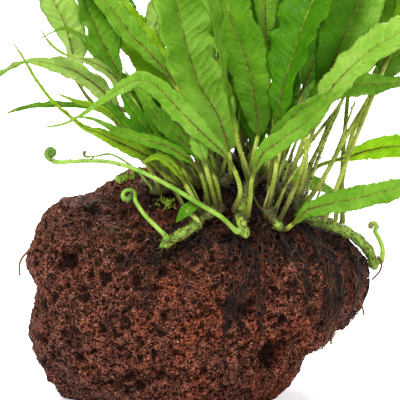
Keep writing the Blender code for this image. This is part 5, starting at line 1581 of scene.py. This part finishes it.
def make_bits(name, spots, random, finish, kit):
    """Flat bits that stand on the stone around given places: right, up, front, reach, how many, size."""
    shape = kit.shapes["scale"].data
    rows = np.array([v.co for v in shape.vertices])
    corners = [tuple(face.vertices) for face in shape.polygons]
    places, faces, tints = [], [], []
    for right, up, front, reach, count, size in spots:
        for _ in range(count):
            spot = Vector((right, up, front)) + Vector(random.normal(0.0, reach, 3))
            ground, normal, _, _ = kit.soft.find_nearest(spot)
            heading = (normal + Vector(random.normal(0.0, 0.7, 3))).normalized()
            spin = Matrix.Rotation(random.uniform(0.0, math.tau), 3, "Y")
            turn = heading.to_track_quat("Y", "Z").to_matrix() @ spin
            scale = size * random.uniform(0.5, 1.3)
            first = len(places)
            places.extend(ground + turn @ Vector(row) * scale for row in rows)
            faces.extend(tuple(first + corner for corner in face) for face in corners)
            tints.extend([random.random()] * len(rows))
    mesh = plain_mesh(name, drawn_to_frame(places), faces=faces, values={"tint": tints})
    mesh.materials.append(kit.finishes[finish])
    return new_piece(name, mesh)


def own_pieces(kit):
    """The pieces with a solid of their own: each piece, its slot and the node that it replaces."""
    pieces = []
    for seed, frond in enumerate(FRONDS):
        pieces.append((make_frond(frond, seed, kit), "frond", (frond.name,)))
    for seed, name in enumerate(RHIZOMES):
        pieces.append((make_rhizome(name, seed, kit), "rhizome", (name,)))
    for seed, fiddle in enumerate(FIDDLEHEADS):
        pieces.append((make_fiddlehead(fiddle, seed, kit), "young_frond", (fiddle.name,)))
    for seed, (name, path) in enumerate(TRESSES.items()):
        tress = make_roots(name + "_fibres", [root_run(kit.soft, path, 1.0)], seed, FIBRES[name], kit, {})
        pieces.append((tress, "root", (name,)))
    return pieces


def filling_pieces(kit):
    """The pieces between those with solids: loose roots, thin stalks, small fronds, moss and crumbs."""
    random = np.random.default_rng(SCATTER_SEED)
    along_rhizomes = [point for _, rough in RHIZOMES.values() for point in rough]
    loose = [root_run(kit.soft, path, spread, amber) for spread, amber, path in LOOSE_ROOTS.values()]
    for point in along_rhizomes:
        for _ in range(CREEPERS):
            length = random.uniform(*CREEPER_LENGTH)
            loose.append(wandering_run(kit.soft, point, length, random))
    free = [free_run(*row) for row in FREE_ROOTS]
    pieces = [
        (make_roots("roots_loose", loose, 9, 3, kit, LOOSE_ROOT), "root", ()),
        (make_roots("roots_free", free, 3, 2, kit, FREE_ROOT), "root", ()),
    ]
    for name, runs, finish in (
            ("thicket_stalks", thicket_runs(kit.solid, random), "stalk"),
            ("right_stalks", stalk_runs(kit.solid), "pale_stalk")):
        pieces.append((make_stem(name, runs, STALK_SEED, finish, kit, STALK_STEM), "frond", ()))
    for seed, frond in enumerate(small_fronds(random), SMALL_FROND_SEED):
        pieces.append((make_frond(frond, seed, kit), "frond", ()))
    tufts = [(right, up, soft_front(kit.soft, right, up), reach, count, MOSS_SIZE)
             for right, up, reach, count in MOSS]
    pieces.append((make_bits("moss", tufts, random, "moss", kit), "frond", ()))
    crumbs = [(*point, *CRUMBS) for point in along_rhizomes]
    pieces.append((make_bits("crumbs", crumbs, random, "crumb", kit), "root", ()))
    return pieces


# Stage

def place_lights():
    aim = Vector(CAMERA_AIM) * MM
    for name, place, size, power in LIGHTS:
        lamp = bpy.data.lights.new(name, "AREA")
        lamp.size = size
        lamp.energy = power
        obj = bpy.data.objects.new(name, lamp)
        obj.location = place
        obj.rotation_euler = (aim - Vector(place)).to_track_quat("-Z", "Y").to_euler()
        bpy.context.scene.collection.objects.link(obj)


def place_camera():
    camera = bpy.data.cameras.new("camera")
    camera.sensor_width = CAMERA_SENSOR
    camera.lens = CAMERA_SENSOR * CAMERA_DISTANCE / (IMAGE_SIDE * MM_PER_PIXEL)
    camera.clip_end = 10.0
    view = bpy.data.objects.new("camera", camera)
    away = Vector((0.0, -math.cos(LEAN), math.sin(LEAN)))
    view.location = (Vector(CAMERA_AIM) + CAMERA_DISTANCE * away) * MM
    view.rotation_euler = (math.pi / 2 - LEAN, 0.0, 0.0)
    bpy.context.scene.collection.objects.link(view)
    bpy.context.scene.camera = view


def set_stage(finishes):
    """Floor, even white world, lights and camera."""
    bm = bmesh.new()
    bmesh.ops.create_grid(bm, x_segments=1, y_segments=1, size=FLOOR_HALF)
    mesh = bpy.data.meshes.new("floor")
    bm.to_mesh(mesh)
    bm.free()
    floor = new_piece("floor", mesh)
    mesh.materials.append(finishes["floor"])

    world = bpy.data.worlds.new("studio")
    world.use_nodes = True
    world.node_tree.nodes.clear()
    recipe = Recipe(world.node_tree)
    seen = recipe.get("ShaderNodeLightPath", "Is Camera Ray")
    strength = recipe.between(seen, WORLD_STRENGTH, BACKDROP_STRENGTH)
    light = recipe.get("ShaderNodeBackground", 0, {"Color": (1.0, 1.0, 1.0), "Strength": strength})
    end = recipe.node("ShaderNodeOutputWorld")
    recipe.tree.links.new(light.socket, end.inputs["Surface"])
    bpy.context.scene.world = world
    bpy.context.scene.view_settings.view_transform = "Standard"
    place_lights()
    place_camera()


def main():
    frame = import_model()
    nodes = frame["nodes"]
    finishes = all_finishes()
    shapes = {name: guide_object(name + "_shape", mesh)
              for name, mesh in (("scale", flake_mesh()), ("hair", hair_mesh()))}
    scatter = scatter_tree()
    trees = {"frond": frond_tree(scatter), "stem": stem_tree(scatter), "root": root_tree()}
    set_stage(finishes)

    # The stone, of which the fine roots are laid on a copy without pores, so that they bridge them
    stone_mesh = softened_stone(nodes["lava_stone"])
    kit = Kit(
        finishes, shapes, trees, [drawn_tree(nodes[name].data) for name in RHIZOMES],
        drawn_tree(nodes["lava_stone"].data), drawn_tree(stone_mesh),
        guide_object("stone_guide", stone_mesh.copy()))
    roughen_stone(stone_mesh, kit.soft, kit.rhizomes)
    stone_mesh.materials.append(finishes["lava"])
    stone = (new_piece("stone_skin", stone_mesh), "stone", ("lava_stone",))

    for piece, slot, replaced in [stone, *own_pieces(kit), *filling_pieces(kit)]:
        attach(piece, "root")
        if replaced:
            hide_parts(*replaced)


main()
